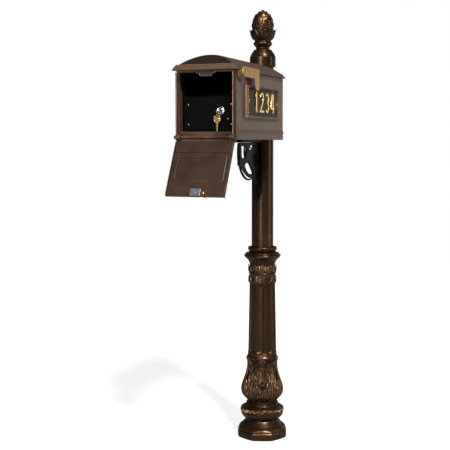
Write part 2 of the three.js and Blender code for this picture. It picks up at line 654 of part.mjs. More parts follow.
function addInsert(root) {
  const support = [[-70, floorTop + GAP], [-70, insertBottom - GAP], [70, insertBottom - GAP], [70, floorTop + GAP]];
  const under = [[70 - SHEET, floorTop + GAP], [70 - SHEET, insertBottom - GAP - SHEET]];
  const channel = [...support, ...under, ...under.map(([x, z]) => [-x, z]).reverse()];
  add(root, "insert_support", prism("y", channel.reverse(), insertFront + 15, insertBack - 15), blackSteel);

  const shell = box(-insertHalfW, insertHalfW, insertFront, insertBack, insertBottom, insertTop);
  const hollow = box(
    -insertHalfW + SHEET, insertHalfW - SHEET, insertFront - 1, insertBack - SHEET,
    insertBottom + SHEET, insertTop - SHEET,
  );
  add(root, "insert_shell", cut(shell, hollow), blackSteel);

  // sloping shelf under the mail slot, with a lip that hangs behind the insert's door for the cam
  const side = insertHalfW - SHEET - GAP;
  const lipY = camFront() - GAP - 0.4 - SHEET;
  const shelfEnd = insertFront + CHUTE_LENGTH;
  const shelf = [
    [insertFront, chuteZ], [lipY, chuteZ], [lipY, chuteZ - 9], [lipY + SHEET, chuteZ - 9], [lipY + SHEET, chuteZ],
    [shelfEnd, chuteZ + CHUTE_RISE], [shelfEnd, chuteZ + CHUTE_RISE + SHEET], [lipY + SHEET, chuteZ + SHEET],
    [insertFront, chuteZ + SHEET],
  ];
  add(root, "insert_chute", prism("x", shelf, -side, side), blackSteel);
  addInsertDoor(root, side);
}

const camFront = () => insertFront + LOCK_L - 2;

function addInsertDoor(root, side) {
  const knuckleR = 2.4;
  const hingeX = -side + knuckleR + 0.3;
  const middle = insertFront + SHEET / 2;
  const low = insertBottom + SHEET + GAP + 1;
  const high = chuteZ - GAP - 0.7;
  const leaf = box(hingeX, side - 1, insertFront, insertFront + SHEET, low, high);
  const knuckle = rod("z", knuckleR, low, high, { x: hingeX, y: middle });
  const pinHole = rod("z", 1 + GAP, low - 1, high + 1, { x: hingeX, y: middle });
  const lockHole = rod("y", LOCK_R + GAP, insertFront - 2, insertFront + 4, { x: LOCK_X, z: lockZ, sides: 16 });
  add(root, "insert_door", cut(join(leaf, knuckle), pinHole, lockHole), blackSteel);
  add(root, "insert_hinge_pin", rod("z", 1, low - 0.6, high + 0.5, { x: hingeX, y: middle, sides: 8 }), zinc);
  addLock(root);
}

function addLock(root) {
  const place = { x: LOCK_X, z: lockZ };
  const bezelRear = insertFront - GAP;
  const barrelRear = insertFront + LOCK_L - 3;
  const bezel = rod("y", BEZEL_R, bezelRear - 3, bezelRear, { ...place, sides: 20 });
  const barrel = rod("y", LOCK_R, bezelRear - 1, barrelRear, { ...place, sides: 16 });
  const bore = rod("y", PLUG_R + GAP, bezelRear - 5, barrelRear + 1, { ...place, sides: 16 });
  add(root, "lock_body", cut(join(bezel, barrel), bore), chrome);

  const nutFront = insertFront + SHEET + GAP;
  const nut = rod("y", 13, nutFront, nutFront + 4, { ...place, sides: 6 });
  add(root, "lock_nut", cut(nut, rod("y", LOCK_R + GAP, nutFront - 1, nutFront + 5, { ...place, sides: 16 })), zinc);

  const camY = camFront();
  const keyway = box(
    LOCK_X - KEY_BLADE_W / 2 - GAP, LOCK_X + KEY_BLADE_W / 2 + GAP, plugFace - 1, plugFace + KEY_BLADE_L + 0.6,
    lockZ - KEY_T / 2 - GAP, lockZ + KEY_T / 2 + GAP,
  );
  const plugRear = camY + 6;
  const plug = rod("y", PLUG_R, plugFace, camY - GAP, { ...place, sides: 16 });
  const tail = rod("y", 4, camY - 1, plugRear, place);
  add(root, "lock_plug", cut(join(plug, tail), keyway), chrome);

  // the cam points left when the lock is open, and turns up behind the chute's lip to lock
  const blade = prism("y", [
    [LOCK_X - CAM_LENGTH, lockZ - 5], [LOCK_X + 3, lockZ - 8], [LOCK_X + 8, lockZ - 3], [LOCK_X + 8, lockZ + 3],
    [LOCK_X + 3, lockZ + 8], [LOCK_X - CAM_LENGTH, lockZ + 5],
  ].reverse(), camY, camY + 2);
  add(root, "lock_cam", cut(blade, rod("y", 4 + GAP, camY - 1, camY + 3, place)), zinc);
  addKeys(root);
}

// a flat key along +v: the bow starts at 0 and the blade's tip is at KEY_L
function keyOutline() {
  const neck = KEY_L - KEY_BLADE_L;
  const half = KEY_BLADE_W / 2;
  const bow = arc(0, KEY_BOW_R - 1, KEY_BOW_R, -60, 240, 14).map(([u, v]) => [u, Math.max(v, 0)]);
  const stem = [[-half - 1, neck - 3], [-half, neck], [-half, KEY_L - 3], [0, KEY_L]];
  const bits = [[half - 1, KEY_L - 3], [half - 2, KEY_L - 8], [half, KEY_L - 12], [half - 2, KEY_L - 17], [half, neck]];
  const upper = bow.filter(([u, v]) => v < KEY_BOW_R * 1.75);
  const right = upper.filter(([u]) => u > 0);
  const left = upper.filter(([u]) => u <= 0);
  return { right, left, stem, bits };
}

function keyPoints() {
  const { right, left, stem, bits } = keyOutline();
  return [...left, ...right, [KEY_BLADE_W / 2 + 1, KEY_L - KEY_BLADE_L - 3], ...bits.reverse(), ...stem.reverse()];
}

function addKeys(root) {
  const hole = arc(0, KEY_HOLE_IN, KEY_HOLE_R, 0, 315, 7);
  const bowEnd = plugFace - (KEY_L - KEY_BLADE_L);
  const flat = (points) => points.map(([u, v]) => [LOCK_X + u, bowEnd + v]);
  const inserted = prism("z", flat(keyPoints()), lockZ - KEY_T / 2, lockZ + KEY_T / 2);
  add(root, "key", cut(inserted, prism("z", flat(hole), lockZ - KEY_T, lockZ + KEY_T)), brass);

  // an oval link hangs in the bow's hole, and the spare key hangs from the link
  const holeY = bowEnd + KEY_HOLE_IN;
  const linkY = holeY - LINK_HALF_W * 0.6;
  const linkZ = lockZ - LINK_HALF_H * 0.8;
  const loop = [];
  for (let i = 0; i < 20; i++) {
    const t = (i / 20) * 2 * Math.PI;
    loop.push(new THREE.Vector3(LOCK_X, linkY + LINK_HALF_W * Math.cos(t), linkZ + LINK_HALF_H * Math.sin(t)));
  }
  const wire = new THREE.Shape(arc(0, 0, LINK_WIRE_R, 0, 300, 5).map(([a, b]) => new THREE.Vector2(a, b)));
  const route = new THREE.CatmullRomCurve3(loop, true);
  add(root, "key_link", new THREE.ExtrudeGeometry(wire, { extrudePath: route, steps: 28, bevelEnabled: false }), zinc);

  const hangZ = linkZ - LINK_HALF_H + GAP + KEY_HOLE_IN;
  const hang = (points) => points.map(([u, v]) => [LOCK_X + u, hangZ - v]);
  const spare = prism("y", hang(keyPoints()), linkY - KEY_T / 2, linkY + KEY_T / 2);
  add(root, "spare_key", cut(spare, prism("y", hang(hole), linkY - KEY_T, linkY + KEY_T)), brass);
}

// ---------------------------------------------------------------- number plate

function plateBox() {
  const front = boxFront + PLATE_FRONT - 29;
  const low = BOX_BOTTOM + PLATE_UP;
  return { front, rear: front + PLATE_FRAME_L, low, high: low + PLATE_FRAME_H };
}

function plateInside() {
  const { front, rear, low, high } = plateBox();
  return {
    front: front + PLATE_END_W, rear: rear - PLATE_REAR_END_W,
    low: low + PLATE_RAIL_LOW, high: high - PLATE_RAIL_TOP,
  };
}

function plateScrewPlaces() {
  const { front, rear, low, high } = plateInside();
  const z = (low + high) / 2;
  return [{ y: front + 5, z }, { y: rear - 5, z }];
}

const NUMERALS = [
  { outline: [[13, 0], [25, 0], [25, 65], [16, 65], [6, 56], [6, 46], [13, 50]], holes: [] },
  { outline: stroke([...arc(19, 46.5, 14, 175, -25, 8), [28, 34], [8, 10], [4.5, 4.5], [38, 4.5]], 9), holes: [] },
  { outline: stroke([...arc(18, 48.5, 12, 155, -60, 7), [20, 35], ...arc(18, 18.5, 14, 62, -150, 8)], 9), holes: [] },
  {
    outline: [[22, 0], [32, 0], [32, 13], [40, 13], [40, 21], [32, 21], [32, 65], [21, 65], [0, 21], [0, 13], [22, 13]],
    holes: [[[22, 21], [22, 46], [10, 21]]],
  },
];

function addNumberPlate(root) {
  const wall = BOX_HALF_W + GAP;
  const outer = plateBox();
  const inner = plateInside();
  const block = box(wall, wall + PLATE_FRAME_T, outer.front, outer.rear, outer.low, outer.high);
  const opening = box(wall - 1, wall + PLATE_FRAME_T + 1, inner.front, inner.rear, inner.low, inner.high);
  add(root, "plate_frame", cut(block, opening), boxPaint);

  const plate = box(
    wall, wall + PLATE_T, inner.front + GAP, inner.rear - GAP, inner.low + GAP, inner.high - GAP,
  );
  const screwPlaces = plateScrewPlaces();
  const holes = screwPlaces.map((p) => rod("x", PLATE_SCREW_R + GAP, wall - 1, wall + PLATE_T + 1, p));
  add(root, "number_plate", cut(plate, ...holes), olive);
  screwPlaces.forEach((p, i) => {
    const face = wall + PLATE_T + GAP;
    const head = rod("x", 4, face, face + 2.4, p);
    const shank = rod("x", PLATE_SCREW_R, innerHalfW - 0.5, face + 1, p);
    add(root, ["plate_screw_front", "plate_screw_rear"][i], join(head, shank), brass);
  });

  const face = wall + PLATE_FRAME_T + GAP;
  const trimPlaces = { rope_trim_front: outer.front + 18, rope_trim_rear: outer.rear - 9 };
  for (const [name, y] of Object.entries(trimPlaces)) {
    const half = TRIM_BEAD_R;
    const trim = prism("z", [[face, y - half], [face + 3, y - half + 1.5], [face + 3, y + half - 1.5], [face, y + half]],
      outer.low + 2, outer.high - 2);
    add(root, name, trim, bronze);
  }

  const numeralFace = wall + PLATE_T + GAP;
  NUMERALS.forEach(({ outline, holes: counters }, i) => {
    const y = inner.front + NUMERAL_START + i * NUMERAL_PITCH;
    const z = (inner.low + inner.high) / 2 - NUMERAL_H / 2;
    const place = (points) => points.map(([u, v]) => [y + u, z + v]);
    const numeral = prism("x", place(outline), numeralFace, numeralFace + NUMERAL_T);
    const through = counters.map((counter) =>
      prism("x", place(counter), numeralFace - 1, numeralFace + NUMERAL_T + 1));
    add(root, `numeral_${i + 1}`, cut(numeral, ...through), brass);
  });
}

// ---------------------------------------------------------------- flag

function flagPivot() {
  return { y: boxFront + FLAG_PIVOT_BACK, z: boxTop - FLAG_PIVOT_DROP };
}

function addFlag(root) {
  const { y, z } = flagPivot();
  const wall = BOX_HALF_W + GAP;
  const bossFace = wall + FLAG_BOSS_T;
  const boss = prism("x", [...arc(y, z, FLAG_BOSS_R, 180, 360, 16), [y + FLAG_BOSS_R, boxTop], [y - FLAG_BOSS_R, boxTop]],
    wall, bossFace);
  const boltHole = rod("x", FLAG_BOLT_R + GAP, wall - 1, bossFace + FLAG_T + 5, { y, z });
  add(root, "flag_boss", cut(boss, boltHole), boxPaint);

  const low = bossFace + GAP;
  const end = y + FLAG_ARM;
  const outline = [
    ...arc(y, z, FLAG_HALF_H, 90, 270, 10), [end - FLAG_LEG_TOP, z - FLAG_HALF_H],
    [end - FLAG_LEG_TIP, z - FLAG_HALF_H - FLAG_LEG_DROP], [end, z - FLAG_HALF_H - FLAG_LEG_DROP],
    [end, z + FLAG_HALF_H],
  ];
  add(root, "flag", cut(prism("x", outline, low, low + FLAG_T), boltHole), flagGold);

  const headFace = low + FLAG_T + GAP;
  const head = rod("x", 6, headFace, headFace + 3, { y, z });
  const shank = rod("x", FLAG_BOLT_R, innerHalfW - 6, headFace + 1, { y, z });
  add(root, "flag_bolt", join(head, shank), brass);
  const nut = rod("x", FLAG_NUT_R, innerHalfW - GAP - 4, innerHalfW - GAP, { y, z, sides: 6 });
  add(root, "flag_nut", cut(nut, rod("x", FLAG_BOLT_R + GAP, innerHalfW - 6, innerHalfW, { y, z })), zinc);
}

// ---------------------------------------------------------------- assembly

const mailbox = new THREE.Group();
addPost(mailbox);
addSleeve(mailbox);
addFinial(mailbox);
addBracket(mailbox);
addBox(mailbox);
addDoor(mailbox);
addCatch(mailbox);
addInsert(mailbox);
addNumberPlate(mailbox);
addFlag(mailbox);

export default mailbox;
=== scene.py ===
# %% [markdown]
# # A post-mounted mailbox in cast bronze and painted metal
# The object is a mailbox on a round post. The post wears a turned and leaf-covered sleeve at its foot
# and a pineapple at its top. The box has a drop-down door, a locking insert, a number plate and a flag.
# The engineering model is loaded first and stays fixed: it says where every piece is and how it moves.
# Each cell then gives one piece the shape and the finish that the real casting or pressing has.

# %% Load the fixed frame
import json
import math

import bmesh
import bpy
import numpy as np
from mathutils import Matrix, Vector

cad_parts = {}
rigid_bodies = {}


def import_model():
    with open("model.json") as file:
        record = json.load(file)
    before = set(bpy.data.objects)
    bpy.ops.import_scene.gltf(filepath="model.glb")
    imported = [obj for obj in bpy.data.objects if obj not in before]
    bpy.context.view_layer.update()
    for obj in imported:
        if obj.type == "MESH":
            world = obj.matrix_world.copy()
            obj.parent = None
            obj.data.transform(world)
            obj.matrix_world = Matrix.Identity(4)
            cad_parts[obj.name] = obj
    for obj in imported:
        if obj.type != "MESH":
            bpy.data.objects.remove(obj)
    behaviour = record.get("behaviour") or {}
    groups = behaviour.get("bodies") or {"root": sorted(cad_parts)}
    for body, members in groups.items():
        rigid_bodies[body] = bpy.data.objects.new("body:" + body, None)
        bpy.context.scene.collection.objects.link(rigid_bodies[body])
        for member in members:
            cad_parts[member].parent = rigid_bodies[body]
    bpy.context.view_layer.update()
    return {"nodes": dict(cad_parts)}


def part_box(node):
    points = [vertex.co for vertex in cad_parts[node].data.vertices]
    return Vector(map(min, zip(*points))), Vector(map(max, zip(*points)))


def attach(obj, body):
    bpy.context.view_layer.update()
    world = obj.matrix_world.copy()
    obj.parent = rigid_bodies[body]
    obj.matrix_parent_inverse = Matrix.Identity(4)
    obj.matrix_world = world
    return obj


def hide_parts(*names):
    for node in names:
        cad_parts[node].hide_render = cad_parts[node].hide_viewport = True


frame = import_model()
MM = 0.001

# %% [markdown]
# ## Measures that come from the frame
# Where a piece sits is mostly read from the frame's own pieces, in millimetres. What the frame doesn't
# hold, such as a moulding's section, is a design value in the cell that uses it. The sleeve and the
# finial are turned by 19 degrees about the post, so that a flat side of the plinth faces the viewer.

# %% Read places from the frame
def extent(node):
    """The lowest and highest x, y and z of a frame node, in millimetres."""
    low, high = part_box(node)
    return [(low[i] / MM, high[i] / MM) for i in range(3)]

SLEEVE_TURN = math.radians(19)
FRONT = SLEEVE_TURN - math.pi / 2  # the angle about the post at which the sleeve's front lies
POST_R = extent("post_tube")[0][1]
BORE_R = POST_R + 0.4
(BOX_LEFT, BOX_RIGHT), (BOX_FRONT, BOX_REAR), (ROOF_FOOT, ROOF_TOP) = extent("roof")
FACE_Y = extent("front_frame")[1][0]
print("post radius", round(POST_R, 1), "roof", [round(v, 1) for v in (BOX_LEFT, BOX_FRONT, ROOF_TOP)])

# %% [markdown]
# ## Building meshes from rows of points
# Turned castings, leaves and lofted sheets are all rows of points joined by quads, so one function
# makes the quads for all of them. Rows may close on themselves, as round a post.

# %% Helpers for rows of points
def quads(rows, cols, wrap_rows=False, wrap_cols=False):
    """Quads that join a grid of points row by row, counted from the first row."""
    faces = []
    for i in range(rows if wrap_rows else rows - 1):
        up = (i + 1) % rows * cols
        for k in range(cols if wrap_cols else cols - 1):
            right = (k + 1) % cols
            faces.append((i * cols + k, i * cols + right, up + right, up + k))
    return faces


def mesh_of(verts, faces):
    """A Blender mesh from points in millimetres."""
    mesh = bpy.data.meshes.new("piece")
    mesh.from_pydata((np.asarray(verts, float) * MM).tolist(), [], faces)
    mesh.update()
    return mesh

# %% Helpers for smooth lines
def rounded(points, fillet=1.0, steps=4, closed=True):
    """A line of points with its corners rounded. A third number on a point is its own fillet."""
    places = [np.array(p[:2], float) for p in points]
    line = []
    for i, corner in enumerate(places):
        size = points[i][2] if len(points[i]) > 2 else fillet
        if size == 0 or (not closed and i in (0, len(places) - 1)):
            line.append(corner)
            continue
        before, after = places[i - 1] - corner, places[(i + 1) % len(places)] - corner
        start = before * min(size / np.linalg.norm(before), 0.48)
        end = after * min(size / np.linalg.norm(after), 0.48)
        for t in np.linspace(0, 1, steps + 1):
            line.append(corner + start * (1 - t) ** 2 + end * t * t)
    return line


def denser(line, step, closed=False):
    """The same line with no two points further apart than step."""
    ends = line[1:] + ([line[0]] if closed else [])
    out = []
    for a, b in zip(line, ends):
        count = max(1, math.ceil(np.linalg.norm(b - a) / step))
        out += [a + (b - a) * i / count for i in range(count)]
    return out if closed else out + [line[-1]]


def flowing(points, count):
    """A smooth line of count points, evenly spaced, through the given points."""
    p = np.array(points, float)
    p = np.vstack([2 * p[0] - p[1], p, 2 * p[-1] - p[-2]])
    dense = []
    for i in range(1, len(p) - 2):
        for t in np.linspace(0, 1, 24, endpoint=False):
            a, b, c, d = p[i - 1:i + 3]
            dense.append(0.5 * (2 * b + (c - a) * t + (2 * a - 5 * b + 4 * c - d) * t**2
                                + (3 * b - a - 3 * c + d) * t**3))
    dense = np.array(dense + [p[-2]])
    run = np.concatenate([[0], np.cumsum(np.linalg.norm(np.diff(dense, axis=0), axis=1))])
    at = np.linspace(0, run[-1], count)
    return np.stack([np.interp(at, run, dense[:, i]) for i in range(dense.shape[1])], axis=1)

# %% [markdown]
# ## Showing a finished piece
# A finished mesh is linked as a named object at the origin. It rides on the body it belongs to, takes
# its finish from one of the record's slots, and stands for the plainer node in the frame.

# %% Helpers that finish a piece
def welded(mesh, distance=0.01):
    """Joins points that touch and turns every face outwards."""
    bm = bmesh.new()
    bm.from_mesh(mesh)
    bmesh.ops.remove_doubles(bm, verts=bm.verts, dist=distance * MM)
    bmesh.ops.recalc_face_normals(bm, faces=bm.faces)
    bm.to_mesh(mesh)
    bm.free()
    return mesh


def joined(*meshes):
    """Several meshes as one."""
    bm = bmesh.new()
    for mesh in meshes:
        bm.from_mesh(mesh)
    whole = bpy.data.meshes.new("piece")
    bm.to_mesh(whole)
    bm.free()
    return whole


def show(name, mesh, finish, nodes=(), body="mailbox", sharp=35):
    """Links a mesh as a piece of the object. Edges steeper than sharp degrees stay crisp."""
    mesh.name = name
    mesh.materials.clear()
    mesh.materials.append(finish)
    if sharp is not None:
        mesh.shade_smooth()
        mesh.set_sharp_from_angle(angle=math.radians(sharp))
    piece = bpy.data.objects.new(name, mesh)
    bpy.context.scene.collection.objects.link(piece)
    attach(piece, body)
    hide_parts(*nodes)
    print(f"{name}: {len(mesh.polygons)} faces on {body}")
    return piece

# %% Helpers that soften edges
def evaluated(mesh, *modifiers):
    """The mesh as it is after its modifiers, each given as (type, settings)."""
    helper = bpy.data.objects.new("helper", mesh)
    bpy.context.scene.collection.objects.link(helper)
    for kind, settings in modifiers:
        modifier = helper.modifiers.new(kind, kind)
        for key, value in settings.items():
            setattr(modifier, key, value)
    graph = bpy.context.evaluated_depsgraph_get()
    made = bpy.data.meshes.new_from_object(helper.evaluated_get(graph))
    bpy.data.objects.remove(helper)
    return made


def eased(mesh, width, segments=3):
    """Rounds the mesh's edges, because no cast, pressed or cut edge is truly sharp."""
    mesh.shade_smooth()
    return evaluated(mesh, ("BEVEL", dict(
        width=width * MM, segments=segments, limit_method="ANGLE", angle_limit=math.radians(38),
        harden_normals=True, use_clamp_overlap=True)))


def from_frame(node):
    """A clean copy of a frame node's mesh, with its flat faces whole again."""
    bm = bmesh.new()
    bm.from_mesh(frame["nodes"][node].data)
    bmesh.ops.remove_doubles(bm, verts=bm.verts, dist=0.02 * MM)
    bmesh.ops.dissolve_limit(bm, angle_limit=math.radians(0.5), verts=bm.verts, edges=bm.edges)
    mesh = bpy.data.meshes.new(node)
    bm.to_mesh(mesh)
    bm.free()
    if "custom_normal" in mesh.attributes:
        mesh.attributes.remove(mesh.attributes["custom_normal"])
    return mesh

# %% [markdown]
# ## Building node trees
# Finishes and Geometry Nodes are both trees of nodes. One short helper adds a node and plugs its
# inputs, so that a tree reads from top to bottom like a recipe.

# %% Helpers for node trees
def put(tree, kind, inputs=None, **settings):
    """Adds a node, with its settings, and its inputs as values or links."""
    node = tree.nodes.new(kind)
    for key, value in settings.items():
        setattr(node, key, value)
    for key, value in (inputs or {}).items():
        if isinstance(value, bpy.types.NodeSocket):
            tree.links.new(value, node.inputs[key])
        else:
            node.inputs[key].default_value = value
    return node


def calc(tree, operation, *values):
    """One arithmetic node. Returns its result."""
    return put(tree, "ShaderNodeMath", dict(enumerate(values)), operation=operation).outputs[0]


def linear(red, green, blue):
    """A screen colour, 0 to 255, as the linear colour that a shader takes."""
    return tuple((c / 255 / 12.92 if c < 11 else ((c / 255 + 0.055) / 1.055) ** 2.4)
                 for c in (red, green, blue)) + (1.0,)

# %% [markdown]
# ## Finishes
# Each finish is one Principled shader. Its colour wanders between a darker and a lighter tone, its
# roughness wanders too, and a bump gives the grain of the real surface: sand for a casting, dimples for
# hammered paint, fine scratches for polished brass. Raised edges of the bronze are made brighter, partly
# as rubbed wear and partly as a painted highlight, read from how far each point stands out of its
# surroundings.

# %% The recipe that all finishes share
def finish(slot, dark, light, metallic, rough, blotch=25, grain=900, relief=0.05, dimple=None,
           rubbed=None, rough_spread=0.08, stretch=(1, 1, 1), coat=0.0, name=None):
    """A procedural finish. Sizes are in waves per metre and relief is in millimetres."""
    material = bpy.data.materials.new(name or slot)
    material["slot"] = slot
    material.use_nodes = True
    tree = material.node_tree
    shader = tree.nodes["Principled BSDF"]
    shader.inputs["Metallic"].default_value = metallic
    shader.inputs["Coat Weight"].default_value = coat
    shader.inputs["Coat Roughness"].default_value = 0.25
    place = put(tree, "ShaderNodeTexCoord").outputs["Object"]
    place = put(tree, "ShaderNodeMapping", {"Vector": place, "Scale": stretch}).outputs["Vector"]
    cloud = put(tree, "ShaderNodeTexNoise",
                {"Vector": place, "Scale": blotch, "Detail": 6.0, "Roughness": 0.62})
    tone = put(tree, "ShaderNodeMapRange", {0: cloud.outputs["Fac"], 1: 0.32, 2: 0.68})
    colour = put(tree, "ShaderNodeMix", {0: tone.outputs[0], 6: dark, 7: light},
                 data_type="RGBA").outputs[2]
    if rubbed:
        # Raised points take a lighter colour: partly rubbed wear, partly a painted highlight.
        stands = put(tree, "ShaderNodeNewGeometry").outputs["Pointiness"]
        wear_and_highlight_mask = put(tree, "ShaderNodeMapRange", {0: stands, 1: 0.5, 2: 0.6}).outputs[0]
        patchy = calc(tree, "MULTIPLY", wear_and_highlight_mask, tone.outputs[0])
        colour = put(tree, "ShaderNodeMix", {0: patchy, 6: colour, 7: rubbed},
                     data_type="RGBA").outputs[2]
    tree.links.new(colour, shader.inputs["Base Color"])
    fine = put(tree, "ShaderNodeTexNoise",
               {"Vector": place, "Scale": grain, "Detail": 3.0}).outputs["Fac"]
    gloss = put(tree, "ShaderNodeMapRange", {0: fine, 1: 0.3, 2: 0.7, 3: rough - rough_spread,
                                             4: rough + rough_spread})
    tree.links.new(gloss.outputs[0], shader.inputs["Roughness"])
    height = fine
    if dimple:
        cells = put(tree, "ShaderNodeTexVoronoi", {"Vector": place, "Scale": dimple},
                    feature="SMOOTH_F1")
        height = calc(tree, "MULTIPLY_ADD", cells.outputs["Distance"], 1.6, fine)
    bump = put(tree, "ShaderNodeBump", {"Height": height, "Distance": relief * MM, "Strength": 1.0})
    tree.links.new(bump.outputs["Normal"], shader.inputs["Normal"])
    print("finish", material.name)
    return material

# %% The finishes of this mailbox
# The plain bronze: its raised points are lighter, partly wear and partly painted highlight.
bronze = finish("bronze_casting", linear(56, 39, 25), linear(72, 51, 33), 0.85, 0.31, blotch=12,
                grain=1300, relief=0.08, rubbed=linear(128, 92, 62))
# A lighter copy of the bronze for faces that catch the light: a painted highlight.
worn_bronze = finish("bronze_casting", linear(132, 94, 66), linear(166, 120, 86), 0.7, 0.4, blotch=30,
                     grain=1300, relief=0.1, name="worn_bronze")
box_paint = finish("box_paint", linear(100, 80, 64), linear(113, 91, 73), 0.5, 0.44, blotch=14,
                   grain=1500, relief=0.15, coat=0.1)
# The leaves' bronze: a lighter top tone and much brighter raised points than the plain bronze, partly wear
# and partly painted highlight.
leaf_bronze = finish("bronze_casting", linear(50, 35, 23), linear(84, 60, 40), 0.85, 0.32, blotch=40,
                     grain=1300, relief=0.08, rubbed=linear(190, 145, 105), name="leaf_bronze")
fascia_paint = finish("box_paint", linear(84, 61, 42), linear(100, 73, 51), 0.6, 0.42, blotch=14,
                      grain=1500, relief=0.12, name="fascia_paint")
# A darker, redder copy of the box paint for the gables' recessed fields: painted shade.
gable_paint = finish("box_paint", linear(34, 21, 17), linear(46, 29, 23), 0.4, 0.5, blotch=14,
                     grain=1500, relief=0.15, name="gable_paint")
# The door's paint: its raised points are lighter, partly wear and partly painted highlight.
door_paint = finish("door_paint", linear(46, 32, 23), linear(64, 46, 34), 0.45, 0.48, blotch=18,
                    grain=1100, relief=0.25, rubbed=linear(120, 90, 66))
# Black paint and black steel far darker than real black: the parts' own black, with painted shade besides.
black_paint = finish("black_paint", linear(4, 4, 4), linear(8, 7, 7), 0.1, 0.45, blotch=20, grain=1600,
                     relief=0.1)
black_steel = finish("black_steel", linear(3, 3, 3), linear(6, 6, 6), 0.0, 0.65, blotch=14, grain=1800,
                     relief=0.05)
plate_paint = finish("plate_paint", linear(38, 34, 20), linear(56, 50, 31), 0.35, 0.5, blotch=30,
                     grain=700, relief=0.5, dimple=260)
brass = finish("polished_brass", linear(226, 174, 98), linear(246, 206, 132), 1.0, 0.24, blotch=40,
               grain=2200, relief=0.03, rough_spread=0.05)
flag_gold = finish("flag_gold", linear(188, 142, 84), linear(214, 168, 106), 0.8, 0.42, blotch=22,
                   grain=1500, relief=0.1)
zinc = finish("zinc", linear(118, 130, 142), linear(168, 180, 190), 0.9, 0.34, blotch=120, grain=500,
              relief=0.05, dimple=180)
chrome = finish("chrome", linear(200, 200, 202), linear(232, 232, 234), 1.0, 0.14, blotch=60,
                grain=2500, relief=0.02, rough_spread=0.04)
# The black finishes barely reflect: painted shade on top of their own black. The door's paint reflects less
# too.
for material, specular in ((black_paint, 0.14), (black_steel, 0.05), (door_paint, 0.3)):
    material.node_tree.nodes["Principled BSDF"].inputs["Specular IOR Level"].default_value = specular
magnet_grey = finish("magnet", linear(42, 42, 44), linear(62, 62, 64), 0.2, 0.7, blotch=60, grain=1500,
                     relief=0.15)

# %% [markdown]
# ## Turned castings
# Post, sleeve, collar and finial are round about the post's axis. Each is a profile of radius against
# height, turned in fine steps. A profile that starts and ends on the axis is solid, and any other
# closes on itself, as a hollow sleeve does.

# %% Turn a profile about the post's axis
def turned(profile, sides=144, start=0.0, shape=None):
    """A turned mesh. shape(radius, height, angle) may carve the radii."""
    line = np.array(profile, float)
    poles = line[0][0] == 0
    body = line[1:-1] if poles else line
    angle = start + np.arange(sides) * 2 * math.pi / sides
    radius = np.repeat(body[:, :1], sides, axis=1)
    height = np.repeat(body[:, 1:], sides, axis=1)
    if shape:
        radius = shape(radius, height, angle[None, :])
    verts = np.stack([radius * np.cos(angle), radius * np.sin(angle), height], axis=2).reshape(-1, 3)
    faces = quads(len(body), sides, wrap_rows=not poles, wrap_cols=True)
    if poles:
        foot, top = len(verts), len(verts) + 1
        verts = np.vstack([verts, [0, 0, line[0][1]], [0, 0, line[-1][1]]])
        last = (len(body) - 1) * sides
        for k in range(sides):
            after = (k + 1) % sides
            faces += [(foot, after, k), (top, last + k, last + after)]
    return mesh_of(verts, faces)


def sleeve(outside, fillet=1.5, step=4.0, **options):
    """A hollow turned casting that fits over the post. outside goes up its outer face."""
    foot, top = outside[0][1], outside[-1][1]
    line = rounded([(BORE_R, foot, 0)] + list(outside) + [(BORE_R, top, 0)], fillet)
    return turned(denser(line, step, closed=True), **options)

# %% [markdown]
# The post itself is a plain drawn tube. It only needs to be truly round, with eased ends.

# %% Post tube
(_, _), (_, _), (post_foot, post_top) = extent("post_tube")
post_wall = 3
tube = rounded([(POST_R, post_foot), (POST_R, post_top), (POST_R - post_wall, post_top),
                (POST_R - post_wall, post_foot)], 0.8, 3)
show("post_tube_round", turned(tube, sides=160), bronze, ["post_tube"])

# %% [markdown]
# ## Leaves
# The sleeve and the finial are covered with cast leaves. One leaf is a long cushion: a row of rings that
# follows a midline of radius against height, wide in its middle and pointed at its tip. Its edge is
# lobed, a rib runs up its middle, veins run out from the rib, long strands can run beside it, and its
# edges sink into the casting. The
# leaf is bent round the post, so that a whole ring of them lies on the casting like a skirt.

